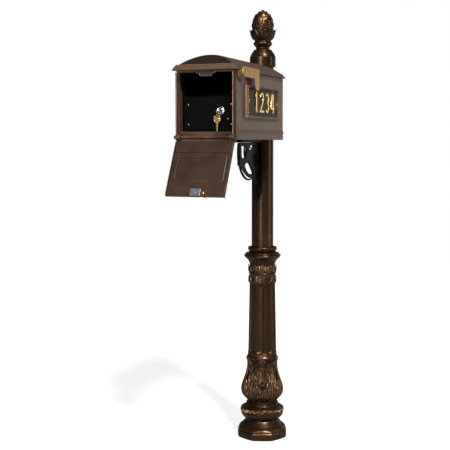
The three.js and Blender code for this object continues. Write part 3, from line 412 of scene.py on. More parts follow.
# %% Model one leaf
def leaf(midline, width, rows=40, cols=12, lobes=5, bite=0.18, thick=2.5, rib=1.2, vein=0.5, foot=0.6,
         peak=0.4, cup=0.0, strands=0, bend=True):
    """A closed leaf at angle 0. midline goes from foot to tip as (radius, height)."""
    line = flowing(midline, rows)
    along = np.gradient(line, axis=0)
    along /= np.linalg.norm(along, axis=1)[:, None]
    out = np.stack([along[:, 1], -along[:, 0]], axis=1)
    u = np.linspace(0, 1, rows)
    wide = foot + (1 - foot) * np.sin(np.clip(u / peak, 0, 1) * math.pi / 2)
    wide = wide * np.clip((1 - u) / (1 - peak), 0, 1) ** 0.62
    scallop = np.abs(np.sin(math.pi * (lobes * u + 0.15))) ** 0.7 if lobes else np.ones(rows)
    half = np.maximum(width / 2 * wide * (1 - bite * (1 - scallop)), 0.02)
    across = np.linspace(-1, 1, cols + 1)
    top = thick * (1 - np.abs(across) ** 3)[None, :] * (0.35 + 0.65 * (1 - u))[:, None]
    top = top + rib * np.exp(-(across / 0.13) ** 2)[None, :] * (1 - u)[:, None] ** 0.4
    phase = lobes * u[:, None] + 0.15 - 0.9 * np.abs(across)[None, :]
    top = top + vein * np.cos(2 * math.pi * phase) * (np.abs(across) * (1 - across**2))[None, :] * 2.2
    top = top + vein * 0.8 * np.cos(2 * math.pi * strands * np.abs(across))[None, :] * (strands > 0)
    top = top - cup * (across**2)[None, :] * np.sin(math.pi * u)[:, None]
    under = np.repeat(-0.35 * thick * (1 - across[-2:0:-1] ** 2)[None, :], rows, axis=0)
    under = under - cup * (across[-2:0:-1] ** 2)[None, :] * np.sin(math.pi * u)[:, None]
    lift = np.hstack([top, under])
    side = np.concatenate([across, across[-2:0:-1]])[None, :] * half[:, None]
    lift *= np.clip(half / (width * 0.12), 0, 1)[:, None]
    r = line[:, :1] + out[:, :1] * lift
    z = line[:, 1:] + out[:, 1:] * lift
    if bend:
        turn = side / np.maximum(line[:, :1], 4)
        verts = np.stack([r * np.cos(turn), r * np.sin(turn), z], axis=2)
    else:
        verts = np.stack([r, side, z], axis=2)
    ring = 2 * cols
    faces = quads(rows, ring, wrap_cols=True)
    faces.append(tuple(range(ring - 1, -1, -1)))
    faces.append(tuple((rows - 1) * ring + k for k in range(ring)))
    return mesh_of(verts.reshape(-1, 3), faces)

# %% [markdown]
# ## A node tree that repeats a piece round the post
# Geometry Nodes repeat things well: the tree makes Count points on the axis, puts the leaf on each, and
# turns each by its share of a full circle. The tree ends by making the copies real and dressing them,
# and the result is kept as a plain mesh.

# %% Build and run node trees
def new_tree(name, inputs):
    """A geometry tree with named inputs: (name, socket type, default)."""
    tree = bpy.data.node_groups.new(name, "GeometryNodeTree")
    tree.interface.new_socket("Geometry", in_out="INPUT", socket_type="NodeSocketGeometry")
    for label, kind, value in inputs:
        socket = tree.interface.new_socket(label, in_out="INPUT", socket_type="NodeSocket" + kind)
        if value is not None:
            socket.default_value = value
    tree.interface.new_socket("Material", in_out="INPUT", socket_type="NodeSocketMaterial")
    tree.interface.new_socket("Geometry", in_out="OUTPUT", socket_type="NodeSocketGeometry")
    return tree, put(tree, "NodeGroupInput").outputs


def end_tree(tree, given, geometry):
    """Makes the copies real, dresses them and sends them out."""
    real = put(tree, "GeometryNodeRealizeInstances", {"Geometry": geometry}).outputs["Geometry"]
    dressed = put(tree, "GeometryNodeSetMaterial", {"Geometry": real, "Material": given["Material"]})
    put(tree, "NodeGroupOutput", {"Geometry": dressed.outputs["Geometry"]})


def grown(tree, seed_mesh, material, **values):
    """Runs a tree on a mesh and returns a plain mesh. Values go by each socket's identifier."""
    seed = bpy.data.objects.new("seed", seed_mesh)
    bpy.context.scene.collection.objects.link(seed)
    modifier = seed.modifiers.new("tree", "NODES")
    modifier.node_group = tree
    for item in tree.interface.items_tree:
        key = item.name.lower().replace(" ", "_")
        if item.in_out == "INPUT" and key in values:
            modifier[item.identifier] = values[key]
        if item.in_out == "INPUT" and item.name == "Material":
            modifier[item.identifier] = material
    graph = bpy.context.evaluated_depsgraph_get()
    made = bpy.data.meshes.new_from_object(seed.evaluated_get(graph))
    seed.modifiers.remove(modifier)
    bpy.data.objects.remove(seed)
    return made

# %% Patterns and lines for trees
def pattern(mesh):
    """A hidden object that lends its mesh to a tree, removed once the tree has run."""
    model = bpy.data.objects.new("pattern", mesh)
    bpy.context.scene.collection.objects.link(model)
    return model


def edge_line(points, loop=False):
    """A bare line of points in millimetres, for trees that follow a path."""
    mesh = bpy.data.meshes.new("line")
    edges = [(i, (i + 1) % len(points)) for i in range(len(points) - (0 if loop else 1))]
    mesh.from_pydata((np.asarray(points, float) * MM).tolist(), edges, [])
    return mesh

# %% Ring of copies
ring_tree, given = new_tree("ring_of_copies", [("Count", "Int", 8), ("Start", "Float", 0.0)])
spots = put(ring_tree, "GeometryNodePoints", {"Count": given["Count"]}).outputs[0]
number = put(ring_tree, "GeometryNodeInputIndex").outputs[0]
share = calc(ring_tree, "DIVIDE", number, given["Count"])
turn = calc(ring_tree, "MULTIPLY_ADD", share, 2 * math.pi, given["Start"])
euler = put(ring_tree, "ShaderNodeCombineXYZ", {"Z": turn}).outputs[0]
spin = put(ring_tree, "FunctionNodeEulerToRotation", {"Euler": euler}).outputs[0]
copies = put(ring_tree, "GeometryNodeInstanceOnPoints",
             {"Points": spots, "Instance": given["Geometry"], "Rotation": spin})
end_tree(ring_tree, given, copies.outputs[0])


def ring_of(mesh, count, start=0.0, material=bronze):
    return grown(ring_tree, mesh, material, count=count, start=FRONT + math.radians(start))


print("inputs of the ring:", [i.name for i in ring_tree.interface.items_tree if i.in_out == "INPUT"])

# %% [markdown]
# ## The sleeve's base
# The base starts as an octagon with a bevelled top and turns into a round bell: stepped rings, a neck,
# and a fat torus. Only one profile is needed, because each point of it says how far it is octagonal.
# A band of pointed leaves wraps the torus.

# %% Base casting
apothem = 87.0
base_top = extent("base_casting")[2][1]
plinth_h, bell_h = 28.0, 36.0


def octagon_to_round(radius, height, angle):
    """Pushes the plinth's rings out to an octagon that faces the front with a flat side."""
    eighth = math.pi / 4
    off = (angle - FRONT + eighth / 2) % eighth - eighth / 2
    square = np.clip((bell_h - height) / (bell_h - plinth_h), 0, 1)
    square = np.where(radius < apothem - 12, 0, square)
    return radius * (1 + 0.62 * square * (1 / np.cos(off) - 1))


torus_r, torus_z, torus_round = 50.5, 89.0, 25.5
t = np.radians(np.linspace(-68, 68, 18))
torus = [(torus_r + torus_round * math.cos(a), torus_z + torus_round * math.sin(a), 1) for a in t]
base_line = rounded([
    (78, 0.2, 0), (apothem - 1, 0.2, 1.5), (apothem, 4, 3), (apothem, 22, 4), (84.5, 26, 1.5),
    (82.5, 28, 0.6),
    (84, 31, 2), (81, 37, 4), (75, 41.5, 1.5), (72.5, 43, 0.5), (69, 47, 5), (60.5, 57, 5),
    (57.5, 62, 2)]
    + torus + [(57, 114.5, 1), (55.6, 117, 1), (57.6, 121, 2), (56, base_top - 0.6, 1.2),
    (50, base_top, 0.5), (BORE_R, base_top, 0), (BORE_R, base_top - 6, 0), (52, base_top - 9, 2),
    (66, 104, 3), (67, 80, 3), (53, 62, 3), (56, 50, 4), (74, 26, 4), (78, 12, 2),
], 1.2, closed=True)
base_mesh = turned(denser(base_line, 4, closed=True), sides=216, start=FRONT, shape=octagon_to_round)
show("base_casting_bell", base_mesh, bronze, ["base_casting"])

# %% Laurel band on the torus
def lying_leaf(radius, height, degrees_long, tall, lean):
    """A leaf that lies along the torus, from its stem at angle 0 round to its tip."""
    rows, cols = 22, 8
    u, v = np.linspace(0, 1, rows)[:, None], np.linspace(-1, 1, cols + 1)[None, :]
    half = np.maximum(tall / 2 * np.sin(math.pi * (0.1 + 0.9 * u) ** 0.8) ** 0.8, 0.05)
    angle = math.radians(degrees_long) * u + 0 * v
    z = height + lean * (u - 0.2) + half * v
    hug = (z - 90) ** 2 / 260
    stand = 2.3 * (1 - np.abs(v) ** 2.5) * np.sin(math.pi * np.clip(u, 0.03, 0.97)) ** 0.5
    stand = (stand + 1.0 * np.exp(-(v / 0.16) ** 2)
             + 1.3 * np.cos(16 * math.pi * (u - 0.5 * np.abs(v))) * (1 - v * v))
    top = np.stack([(radius - hug + stand) * np.cos(angle), (radius - hug + stand) * np.sin(angle), z],
                   axis=2)
    low = radius - hug[:, -2:0:-1] - 1.5
    under = np.stack([low * np.cos(angle[:, -2:0:-1]), low * np.sin(angle[:, -2:0:-1]), z[:, -2:0:-1]],
                     axis=2)
    verts = np.concatenate([top, under], axis=1)
    ring = verts.shape[1]
    faces = quads(rows, ring, wrap_cols=True)
    faces += [tuple(range(ring)), tuple((rows - 1) * ring + k for k in range(ring))]
    return welded(mesh_of(verts.reshape(-1, 3), faces), 0.001)


wreath = joined(ring_of(lying_leaf(74.4, 99, 20, 9, 5), 20),
                ring_of(lying_leaf(74.6, 96, 20, 8, -4), 20, 9))
show("base_laurel_band", wreath, leaf_bronze)

# %% [markdown]
# ## The acanthus vase
# A swelling vase carries two rings of acanthus leaves. The tall ones rise from the foot, hug the belly
# and nod outwards at the top. Shorter ones fill the gaps between them.

# %% Vase casting
vase_foot, vase_top = extent("vase_casting")[2]
vase_mesh = sleeve([
    (50, vase_foot, 0), (54, vase_foot + 1, 1), (54, vase_foot + 3.5, 1), (46.5, 129, 2),
    (46.5, 133, 2),
    (56, 143, 5), (65, 153, 5), (68.5, 164, 5), (68.5, 175, 5), (66.5, 186, 5), (61, 203, 6),
    (55, 222, 6),
    (50.5, 241, 6), (49, 262, 5), (50, 276, 3), (54, 283, 2), (55.5, 288, 2), (52, 293, 1),
    (50.5, vase_top, 0.5),
], step=5)
tall_leaf = leaf([(47, 131), (55, 140), (65, 150), (69.3, 163), (69.3, 176), (66, 191), (60, 209),
                  (54, 230),
                  (50.5, 250), (50.5, 266), (53, 277), (56.8, 284), (59.6, 286), (60.6, 283)],
                 58, rows=84, cols=34, lobes=4, bite=0.10, thick=3.8, rib=1.6, vein=1.6, foot=0.5,
                 peak=0.3, strands=4)
short_leaf = leaf([(48, 133), (58, 144), (67.5, 156), (69.5, 170), (68.5, 184), (66, 196), (64.5, 204),
                   (66, 209)],
                  40, rows=60, cols=26, lobes=4, bite=0.10, thick=3.8, rib=1.6, vein=1.4, foot=0.5,
                  peak=0.45, strands=3)
nodding_leaf = leaf([(50, 262), (52.5, 273), (56, 281), (58.8, 284), (60, 281.5)],
                    22, rows=26, cols=10, lobes=2, bite=0.12, thick=4.2, rib=1, vein=0.2, foot=0.7,
                    peak=0.55)
trefoil = joined(*[leaf([(50.5 + 0.5 * lean, 236), (53, 246), (56.5, 254), (59, 257), (59.6, 254)], 13,
                        rows=20,
                        cols=10, lobes=0, thick=2.6, rib=0.8, vein=0, foot=0.6,
                        peak=0.55) for lean in (0,)])
show("vase_casting_body", vase_mesh, bronze, ["vase_casting"])
show("vase_acanthus", joined(ring_of(tall_leaf, 6, 30), ring_of(short_leaf, 6)), leaf_bronze)
show("vase_leaf_tips", joined(ring_of(nodding_leaf, 6), ring_of(trefoil, 6)), leaf_bronze)

# %% [markdown]
# ## The fluted column
# The column's shape follows a rule: ten hollow flutes with narrow lands between them, round at both
# ends. A node tree carves them. It finds each point's angle, works out where it lies across its flute,
# and moves it in by the height of a circle's arc. The bore is left alone.

# %% Tree that carves flutes
flute_tree, given = new_tree("flutes", [
    ("Flutes", "Int", 10), ("Depth", "Float", 0.004), ("Share", "Float", 0.83), ("Low", "Float", 0.0),
    ("High", "Float", 1.0), ("End", "Float", 0.012), ("Start", "Float", 0.0), ("Bore", "Float", 0.0)])
where = put(flute_tree, "ShaderNodeSeparateXYZ",
            {0: put(flute_tree, "GeometryNodeInputPosition").outputs[0]}).outputs
angle = calc(flute_tree, "SUBTRACT", calc(flute_tree, "ARCTAN2", where[1], where[0]), given["Start"])
cell = calc(flute_tree, "DIVIDE", calc(flute_tree, "MULTIPLY", angle, given["Flutes"]), 2 * math.pi)
cell = calc(flute_tree, "SUBTRACT", cell, calc(flute_tree, "ROUND", cell))
across = calc(flute_tree, "DIVIDE", calc(flute_tree, "MULTIPLY", cell, 2.0), given["Share"])
near_end = calc(flute_tree, "MINIMUM", calc(flute_tree, "SUBTRACT", where[2], given["Low"]),
                calc(flute_tree, "SUBTRACT", given["High"], where[2]))
endness = calc(flute_tree, "DIVIDE", calc(flute_tree, "SUBTRACT", given["End"], near_end), given["End"])
endness = calc(flute_tree, "MAXIMUM", endness, 0.0)
left_over = calc(flute_tree, "SUBTRACT",
                 calc(flute_tree, "SUBTRACT", 1.0, calc(flute_tree, "POWER", across, 2.0)),
                 calc(flute_tree, "POWER", endness, 2.0))
hollow = calc(flute_tree, "SQRT", calc(flute_tree, "MAXIMUM", left_over, 0.0))
radius = calc(flute_tree, "SQRT", calc(flute_tree, "ADD", calc(flute_tree, "POWER", where[0], 2.0),
                                       calc(flute_tree, "POWER", where[1], 2.0)))
outside = calc(flute_tree, "GREATER_THAN", radius, given["Bore"])
inward = calc(flute_tree, "DIVIDE",
              calc(flute_tree, "MULTIPLY", calc(flute_tree, "MULTIPLY", hollow, outside),
                                         calc(flute_tree, "MULTIPLY", given["Depth"], -1.0)), radius)
shift = put(flute_tree, "ShaderNodeCombineXYZ", {"X": calc(flute_tree, "MULTIPLY", where[0], inward),
                                                 "Y": calc(flute_tree, "MULTIPLY", where[1],
                                                           inward)}).outputs[0]
carved = put(flute_tree, "GeometryNodeSetPosition", {"Geometry": given["Geometry"], "Offset": shift})
end_tree(flute_tree, given, carved.outputs[0])

# %% Fluted column
column_foot, column_top = extent("fluted_column")[2]
column_line = rounded([
    (BORE_R, column_foot, 0), (51, column_foot, 0), (51.6, column_foot + 4, 1.5),
    (50.2, column_foot + 7, 1),
    (45.6, 551, 0), (46.5, 556, 1), (48.2, 559, 1.5), (48, 566, 1), (46.8, 571, 1), (47, column_top, 0),
    (BORE_R, column_top, 0)], 1.2)
heights = [np.array([np.interp(z, [column_foot + 7, 551], [50.2, 45.6]), z])
           for z in np.concatenate([np.linspace(306, 322, 9), np.linspace(350, 500, 6),
                                    np.linspace(528, 548, 11)])]
below = [p for p in column_line if p[1] <= column_foot + 7.5 and p[0] > BORE_R + 1]
above = [p for p in column_line if p[1] >= 551 - 1e-6 and p[0] > BORE_R + 1]
blank = turned([column_line[0]] + below + heights + above + [column_line[-1]], sides=360, start=FRONT)
flute_phase = FRONT - math.radians(9)
column_mesh = grown(flute_tree, blank, bronze, flutes=10, depth=5.4 * MM, share=0.833, low=303 * MM,
                    high=551 * MM, end=12 * MM, start=flute_phase, bore=43.5 * MM)
show("fluted_column_carved", column_mesh, bronze, ["fluted_column"], sharp=28)

# %% [markdown]
# ## The capital
# Above the column hangs a festoon of lobes with a small leaf on each cusp, then a thin bright bead, a
# band of upright leaves, and a bell that flares into two rolled rings with leaf tips curling over them.

# %% Capital casting
capital_foot, capital_top = extent("capital_casting")[2]
capital_mesh = sleeve([
    (46.5, capital_foot, 0), (47.5, 585.5, 0.5), (49.2, 588, 1.6), (47.5, 590.5, 0.5), (45.8, 592, 0.5),
    (45.4, 606, 3), (45.2, 618, 3), (46.4, 625, 3), (50, 633, 4), (57, 641, 4), (62.6, 645.5, 2),
    (65, 649.5, 2.2),
    (63.6, 653.8, 1.8), (59.5, 654.8, 0.6), (58.6, 655.8, 0.5), (60.2, 657.6, 1.2), (58.8, 660, 1.2),
    (53, capital_top, 1), (47, capital_top - 1, 0.5),
], step=4)
band_leaf = leaf([(45.4, 592), (47.2, 599), (48.2, 607), (47.6, 614), (49.4, 618.5), (50.6, 616.5)], 15,
                 rows=30,
                 cols=10, lobes=2, bite=0.25, thick=2.6, rib=1.1, vein=0.4, foot=0.45, peak=0.6)
band_curl = leaf([(45.4, 616), (47, 611), (48.6, 605), (49, 599), (47.8, 594.5)], 10, rows=22, cols=8,
                 lobes=2, bite=0.2, thick=2.4, rib=0.8, vein=0.2, foot=0.5, peak=0.6)
cusp_leaf = leaf([(47, 581), (49, 573), (49.6, 562), (48.4, 553), (47.2, 549)], 9, rows=24, cols=8,
                 lobes=2, bite=0.2, thick=1.9, rib=0.8, vein=0.2, foot=0.7, peak=0.35)
show("capital_casting_bell", capital_mesh, bronze, ["capital_casting"])
foliage = joined(ring_of(band_leaf, 12), ring_of(band_curl, 12, 15), ring_of(cusp_leaf, 10, 9))
show("capital_foliage", welded(foliage, 0.0001), leaf_bronze)

# %% [markdown]
# The festoon is a cord of metal hung from cusp to cusp. A second tree sweeps a round bar along a line
# of points whose thickness is stored on the points, and the ring tree repeats the swag ten times.

# %% Tree that sweeps a bar along a line
bar_tree, given = new_tree("bar_on_a_line", [("Sides", "Int", 12)])
rail = put(bar_tree, "GeometryNodeMeshToCurve", {"Mesh": given["Geometry"]}).outputs[0]
section = put(bar_tree, "GeometryNodeCurvePrimitiveCircle",
              {"Resolution": given["Sides"], "Radius": 1.0}).outputs[0]
thickness = put(bar_tree, "GeometryNodeInputNamedAttribute", {"Name": "thickness"},
                data_type="FLOAT").outputs[0]
swept = put(bar_tree, "GeometryNodeCurveToMesh",
            {"Curve": rail, "Profile Curve": section, "Scale": thickness, "Fill Caps": True})
end_tree(bar_tree, given, swept.outputs[0])


def bar(points, thick, sides=12, material=bronze, loop=False):
    """A round bar along points in millimetres. thick is its radius, or one for each point."""
    line = edge_line(points, loop)
    store = line.attributes.new("thickness", "FLOAT", "POINT")
    store.data.foreach_set("value",
                           np.broadcast_to(np.asarray(thick, float) * MM,
                                           len(points)).astype(np.float32))
    return welded(grown(bar_tree, line, material, sides=sides))


swing = np.linspace(-1, 1, 25)
swag_angle = np.radians(18) * swing
swag_drop = 577 - 19 * (1 - swing**2)
swag_line = np.stack([48.2 * np.cos(swag_angle), 48.2 * np.sin(swag_angle), swag_drop], axis=1)
swags = ring_of(bar(swag_line, 1.7 + 0.5 * (1 - swing**2)), 10, -9)
show("capital_festoon", swags, leaf_bronze)

# %% [markdown]
# The trim ring is a shallow dish on top of the sleeve: a fat rolled rim that narrows to a neck, open
# towards the post, and held by a set screw.

# %% Trim ring
ring_foot, ring_top = extent("trim_ring")[2]
trim_line = [(46, ring_foot, 0), (46.2, 664, 1), (48.5, 668, 2), (50.2, 671, 1), (51, 674, 2.4),
             (50.8, 680, 2.4), (48.6, ring_top, 1.6), (45.5, ring_top - 1.5, 1.5), (41, 676.5, 1)]
trim_mesh = turned(denser(rounded([(BORE_R, ring_foot, 0)] + trim_line + [(BORE_R, 675.5, 0)], 1.2), 4,
                          closed=True),
                   sides=144)
show("trim_ring_dish", trim_mesh, bronze, ["trim_ring"])

# %% [markdown]
# ## The finial
# A collar slides over the post's top. Its shoulder steps in through thin rings to a neck. The pineapple
# above has a bead, a smooth cup with leaves that curl out at its lip, and a body of overlapping scales.

# %% Collar and cup
collar_foot, collar_top = extent("finial_collar")[2]
finial_foot, finial_top = extent("pineapple_finial")[2]
stud_bore = 6.4
collar_line = rounded([
    (BORE_R, collar_foot, 0), (44.2, collar_foot, 0.5), (45, collar_foot + 1.5, 0.8), (45, 1345, 1.2),
    (43.2, 1347.5, 0.8), (42.2, 1350, 1),
    (41.2, 1354, 2), (38.6, 1356.4, 0.8), (39.2, 1358.2, 0.8), (38.4, 1360, 0.8), (35, 1361.2, 0.5),
    (33.6, 1364, 2),
    (32, 1366.5, 0.5), (32.4, 1368, 0.8), (31, 1369.4, 0.6), (25.2, 1370.4, 1), (23.6, collar_top, 0.3),
    (stud_bore, collar_top, 0), (stud_bore, post_top + 4, 0), (BORE_R, post_top + 1, 0)])
collar_mesh = turned(denser(collar_line, 4, closed=True))
show("finial_collar_stepped", collar_mesh, bronze, ["finial_collar"])
egg_middle, egg_half, egg_girth = 1446.0, 56.0, 36.8
t = np.radians(np.linspace(-12, 80, 16))
egg_line = [(egg_girth * math.cos(a), egg_middle + egg_half * math.sin(a)) for a in t]
finial_line = rounded([
    (0, finial_foot, 0), (23, finial_foot, 0.3), (23.6, 1374, 0.5), (24.2, 1379.5, 1.5),
    (28, 1382.5, 1.5),
    (31.6, 1386.5, 2), (32.8, 1391, 3), (31.6, 1395, 2), (28.6, 1397.5, 1), (27.6, 1399.5, 1),
    (29, 1402, 1.5),
    (32.4, 1406.5, 3), (37, 1414, 4), (40, 1421, 4), (42.2, 1429, 4), (43, 1435, 1.5),
    (40.5, 1437.5, 1.2),
    (36.4, 1436, 1)] + [(r, z, 1) for r, z in egg_line[1:]] + [(0, 1502, 0)], 1.5, closed=False)
cup_mesh = turned(denser(finial_line, 4), sides=144)
cup_leaf = leaf([(33, 1406), (38.2, 1415), (41.6, 1424), (43.4, 1431), (45.4, 1436), (48, 1438.6),
                 (49.8, 1438)],
                25, rows=40, cols=12, lobes=0, thick=2.6, rib=0.5, vein=0, foot=0.6, peak=0.35)
show("pineapple_cup", cup_mesh, bronze, ["pineapple_finial"])
show("pineapple_cup_leaves", ring_of(cup_leaf, 9), bronze)

# %% [markdown]
# The scales follow a rule as well: rows of them climb the egg, each row turned by half a scale from the
# row below, and each scale as wide as the egg allows there. A tree samples the egg's profile, tilts each
# scale to the surface and turns it into place. The seed for anything random is fixed: a little of
# each scale's size varies, as modelling by hand in wax leaves it.

# %% Tree that lays scales on a profile
scale_tree, given = new_tree("scales_on_profile", [
    ("Scale", "Object", None), ("Rows", "Int", 7), ("Around", "Int", 9),
    ("Full Radius", "Float", 0.036),
    ("Start", "Float", 0.0), ("Slim", "Float", 1.0), ("Seed", "Int", 7)])
total = calc(scale_tree, "MULTIPLY", given["Rows"], given["Around"])
spots = put(scale_tree, "GeometryNodePoints", {"Count": total}).outputs[0]
number = put(scale_tree, "GeometryNodeInputIndex").outputs[0]
row = calc(scale_tree, "FLOOR",
           calc(scale_tree, "DIVIDE", calc(scale_tree, "ADD", number, 0.5), given["Around"]))
place_in_row = calc(scale_tree, "SUBTRACT", number, calc(scale_tree, "MULTIPLY", row, given["Around"]))
stagger = calc(scale_tree, "MULTIPLY", calc(scale_tree, "MODULO", row, 2.0), 0.5)
step_angle = calc(scale_tree, "DIVIDE", 2 * math.pi, given["Around"])
turn = calc(scale_tree, "MULTIPLY_ADD", calc(scale_tree, "ADD", place_in_row, stagger), step_angle,
            given["Start"])
rise = calc(scale_tree, "DIVIDE", row, calc(scale_tree, "SUBTRACT", given["Rows"], 1.0))
rail = put(scale_tree, "GeometryNodeMeshToCurve", {"Mesh": given["Geometry"]}).outputs[0]
sample = put(scale_tree, "GeometryNodeSampleCurve", {"Curves": rail, "Factor": rise},
             mode="FACTOR").outputs
spot = put(scale_tree, "ShaderNodeSeparateXYZ", {0: sample["Position"]}).outputs
heading = put(scale_tree, "ShaderNodeSeparateXYZ", {0: sample["Tangent"]}).outputs
tilt = calc(scale_tree, "ARCTAN2", heading[0], heading[2])
euler = put(scale_tree, "ShaderNodeCombineXYZ", {"Y": tilt, "Z": turn}).outputs[0]
spin = put(scale_tree, "FunctionNodeEulerToRotation", {"Euler": euler}).outputs[0]
there = put(scale_tree, "ShaderNodeCombineXYZ", {
    "X": calc(scale_tree, "MULTIPLY", spot[0], calc(scale_tree, "COSINE", turn)),
    "Y": calc(scale_tree, "MULTIPLY", spot[0], calc(scale_tree, "SINE", turn)),
    "Z": spot[2]}).outputs[0]
placed = put(scale_tree, "GeometryNodeSetPosition", {"Geometry": spots, "Position": there}).outputs[0]
wobble = put(scale_tree, "FunctionNodeRandomValue",
             {2: 0.96, 3: 1.04, "Seed": given["Seed"]}).outputs[1]
snug = calc(scale_tree, "MAXIMUM", calc(scale_tree, "DIVIDE", spot[0], given["Full Radius"]), 0.42)
size = calc(scale_tree, "MULTIPLY", calc(scale_tree, "POWER", snug, 0.8), wobble)
sizes = put(scale_tree, "ShaderNodeCombineXYZ", {
    "X": size, "Y": calc(scale_tree, "MULTIPLY", size, given["Slim"]), "Z": size}).outputs[0]
shape = put(scale_tree, "GeometryNodeObjectInfo", {"Object": given["Scale"]}).outputs["Geometry"]
copies = put(scale_tree, "GeometryNodeInstanceOnPoints",
             {"Points": placed, "Instance": shape, "Rotation": spin, "Scale": sizes})
end_tree(scale_tree, given, copies.outputs[0])

# %% Pineapple scales
one_scale = leaf([(-2.5, -4), (0.4, 2), (2.6, 9), (3.6, 15), (3.4, 20.5), (1.4, 25)], 27, rows=22,
                 cols=12, lobes=0, thick=3.6, rib=0.9, vein=0, foot=0.75, peak=0.42, bend=False)
model = pattern(one_scale)
egg_rail = edge_line([(r - 3.6, 0, z) for r, z in egg_line[1:-1]])
scales = grown(scale_tree, egg_rail, bronze, scale=model, rows=5, around=8, full_radius=36 * MM,
               start=FRONT, slim=1.0, seed=7)
crown_rail = edge_line([(r, 0, z) for r, z in flowing([(11, 1488), (7.5, 1493), (4.5, 1496)], 12)])
crown = grown(scale_tree, crown_rail, bronze, scale=model, rows=2, around=5, full_radius=22 * MM,
              start=FRONT, slim=0.8, seed=3)
bpy.data.objects.remove(model)
show("pineapple_scales", joined(scales, crown), leaf_bronze)
top_now = max(v.co.z for o in bpy.data.objects if o.name.startswith("pineapple_s")
              for v in o.data.vertices) / MM
print("top of the scales", round(top_now, 1), "of", round(finial_top, 1))

# %% [markdown]
# ## Screws, rivets and bolts
# Fasteners repeat, so a tree puts one head, and a shank under it, on every point of a small mesh. Each
# point stores which way its fastener faces and how large it is, and one modelled head
# serves a whole kind of fastener.

# %% Tree that drives fasteners
fastener_tree, given = new_tree("fasteners", [
    ("Head", "Object", None), ("Shank Radius", "Float", 0.002), ("Shank Length", "Float", 0.01)])
head = put(fastener_tree, "GeometryNodeObjectInfo", {"Object": given["Head"]}).outputs["Geometry"]
shank = put(fastener_tree, "GeometryNodeMeshCylinder",
            {"Vertices": 20, "Radius": given["Shank Radius"],
             "Depth": given["Shank Length"]}).outputs[0]
sunk = calc(fastener_tree, "MULTIPLY", given["Shank Length"], -0.5)
offset = put(fastener_tree, "ShaderNodeCombineXYZ",
             {"Z": calc(fastener_tree, "ADD", sunk, 0.0004)}).outputs[0]
shank = put(fastener_tree, "GeometryNodeTransform",
            {"Geometry": shank, "Translation": offset}).outputs[0]
whole = put(fastener_tree, "GeometryNodeJoinGeometry", {"Geometry": head})
fastener_tree.links.new(shank, whole.inputs[0])
facing = put(fastener_tree, "GeometryNodeInputNamedAttribute", {"Name": "facing"},
             data_type="FLOAT_VECTOR").outputs[0]
size = put(fastener_tree, "GeometryNodeInputNamedAttribute", {"Name": "size"},
           data_type="FLOAT").outputs[0]
aimed = put(fastener_tree, "FunctionNodeAlignRotationToVector", {"Vector": facing}, axis="Z").outputs[0]
spots = put(fastener_tree, "GeometryNodeMeshToPoints", {"Mesh": given["Geometry"]}).outputs[0]
driven = put(fastener_tree, "GeometryNodeInstanceOnPoints",
             {"Points": spots, "Instance": whole.outputs[0], "Rotation": aimed, "Scale": size})
end_tree(fastener_tree, given, driven.outputs[0])


def fasteners(head_mesh, places, facing, material, sizes=1.0, shank_radius=2.0, shank_length=8.0):
    """Heads and shanks at places in millimetres, all facing one way."""
    spots = bpy.data.meshes.new("spots")
    spots.from_pydata((np.asarray(places, float) * MM).tolist(), [], [])
    spots.attributes.new("facing", "FLOAT_VECTOR", "POINT").data.foreach_set("vector",
                                                                             list(facing) * len(places))
    spots.attributes.new("size", "FLOAT", "POINT").data.foreach_set(
        "value", np.broadcast_to(np.asarray(sizes, np.float32), len(places)).copy())
    model = pattern(head_mesh)
    made = grown(fastener_tree, spots, material, head=model, shank_radius=shank_radius * MM,
                 shank_length=shank_length * MM)
    bpy.data.objects.remove(model)
    return made

# %% Heads: domed with a slot, hexagonal, socketed and plain
def slotted_head(radius, height, slot=0.0, sides=48):
    """A domed head on z = 0. Its slot is pressed into the dome."""
    t = np.linspace(0, math.pi / 2, 12)
    dome = [(radius * 0.97 * math.cos(a) ** 0.8, height * (0.18 + 0.82 * math.sin(a))) for a in t[:-1]]
    mesh = turned([(0, 0), (radius * 0.94, 0), (radius, 0.12 * height)] + dome + [(0, height)],
                  sides=sides)
    if slot:
        for v in mesh.vertices:
            x, y, z = v.co / MM
            if abs(y) < slot and z > height * 0.45 and math.hypot(x, y) < radius * 0.93:
                v.co.z = height * 0.45 * MM
    return mesh


def hex_head(radius, height):
    line = [(0, 0), (radius, 0), (radius, height * 0.82), (radius * 0.86, height), (0, height)]
    return turned(line, sides=6)


def socket_head(radius, height):
    line = [(0, 0), (radius, 0), (radius, height * 0.8), (radius * 0.85, height),
            (radius * 0.45, height), (radius * 0.45, height * 0.35), (0, height * 0.3)]
    return turned(line, sides=36)

# %% [markdown]
# ## Plates, panels and sections
# Most of the box is pressed or cast in flat walls. Where the frame's own shape is right, a clean copy of
# it gets eased edges. Where a wall has a rolled section, the section is drawn and drawn out to length.
# Flat outlines with holes are filled as a curve, which also rolls their edges.

# %% Helpers for flat and drawn pieces
AXES = {"x": ((0, 1, 0), (0, 0, 1), (1, 0, 0)), "y": ((-1, 0, 0), (0, 0, 1), (0, 1, 0)),
        "z": ((1, 0, 0), (0, 1, 0), (0, 0, 1))}


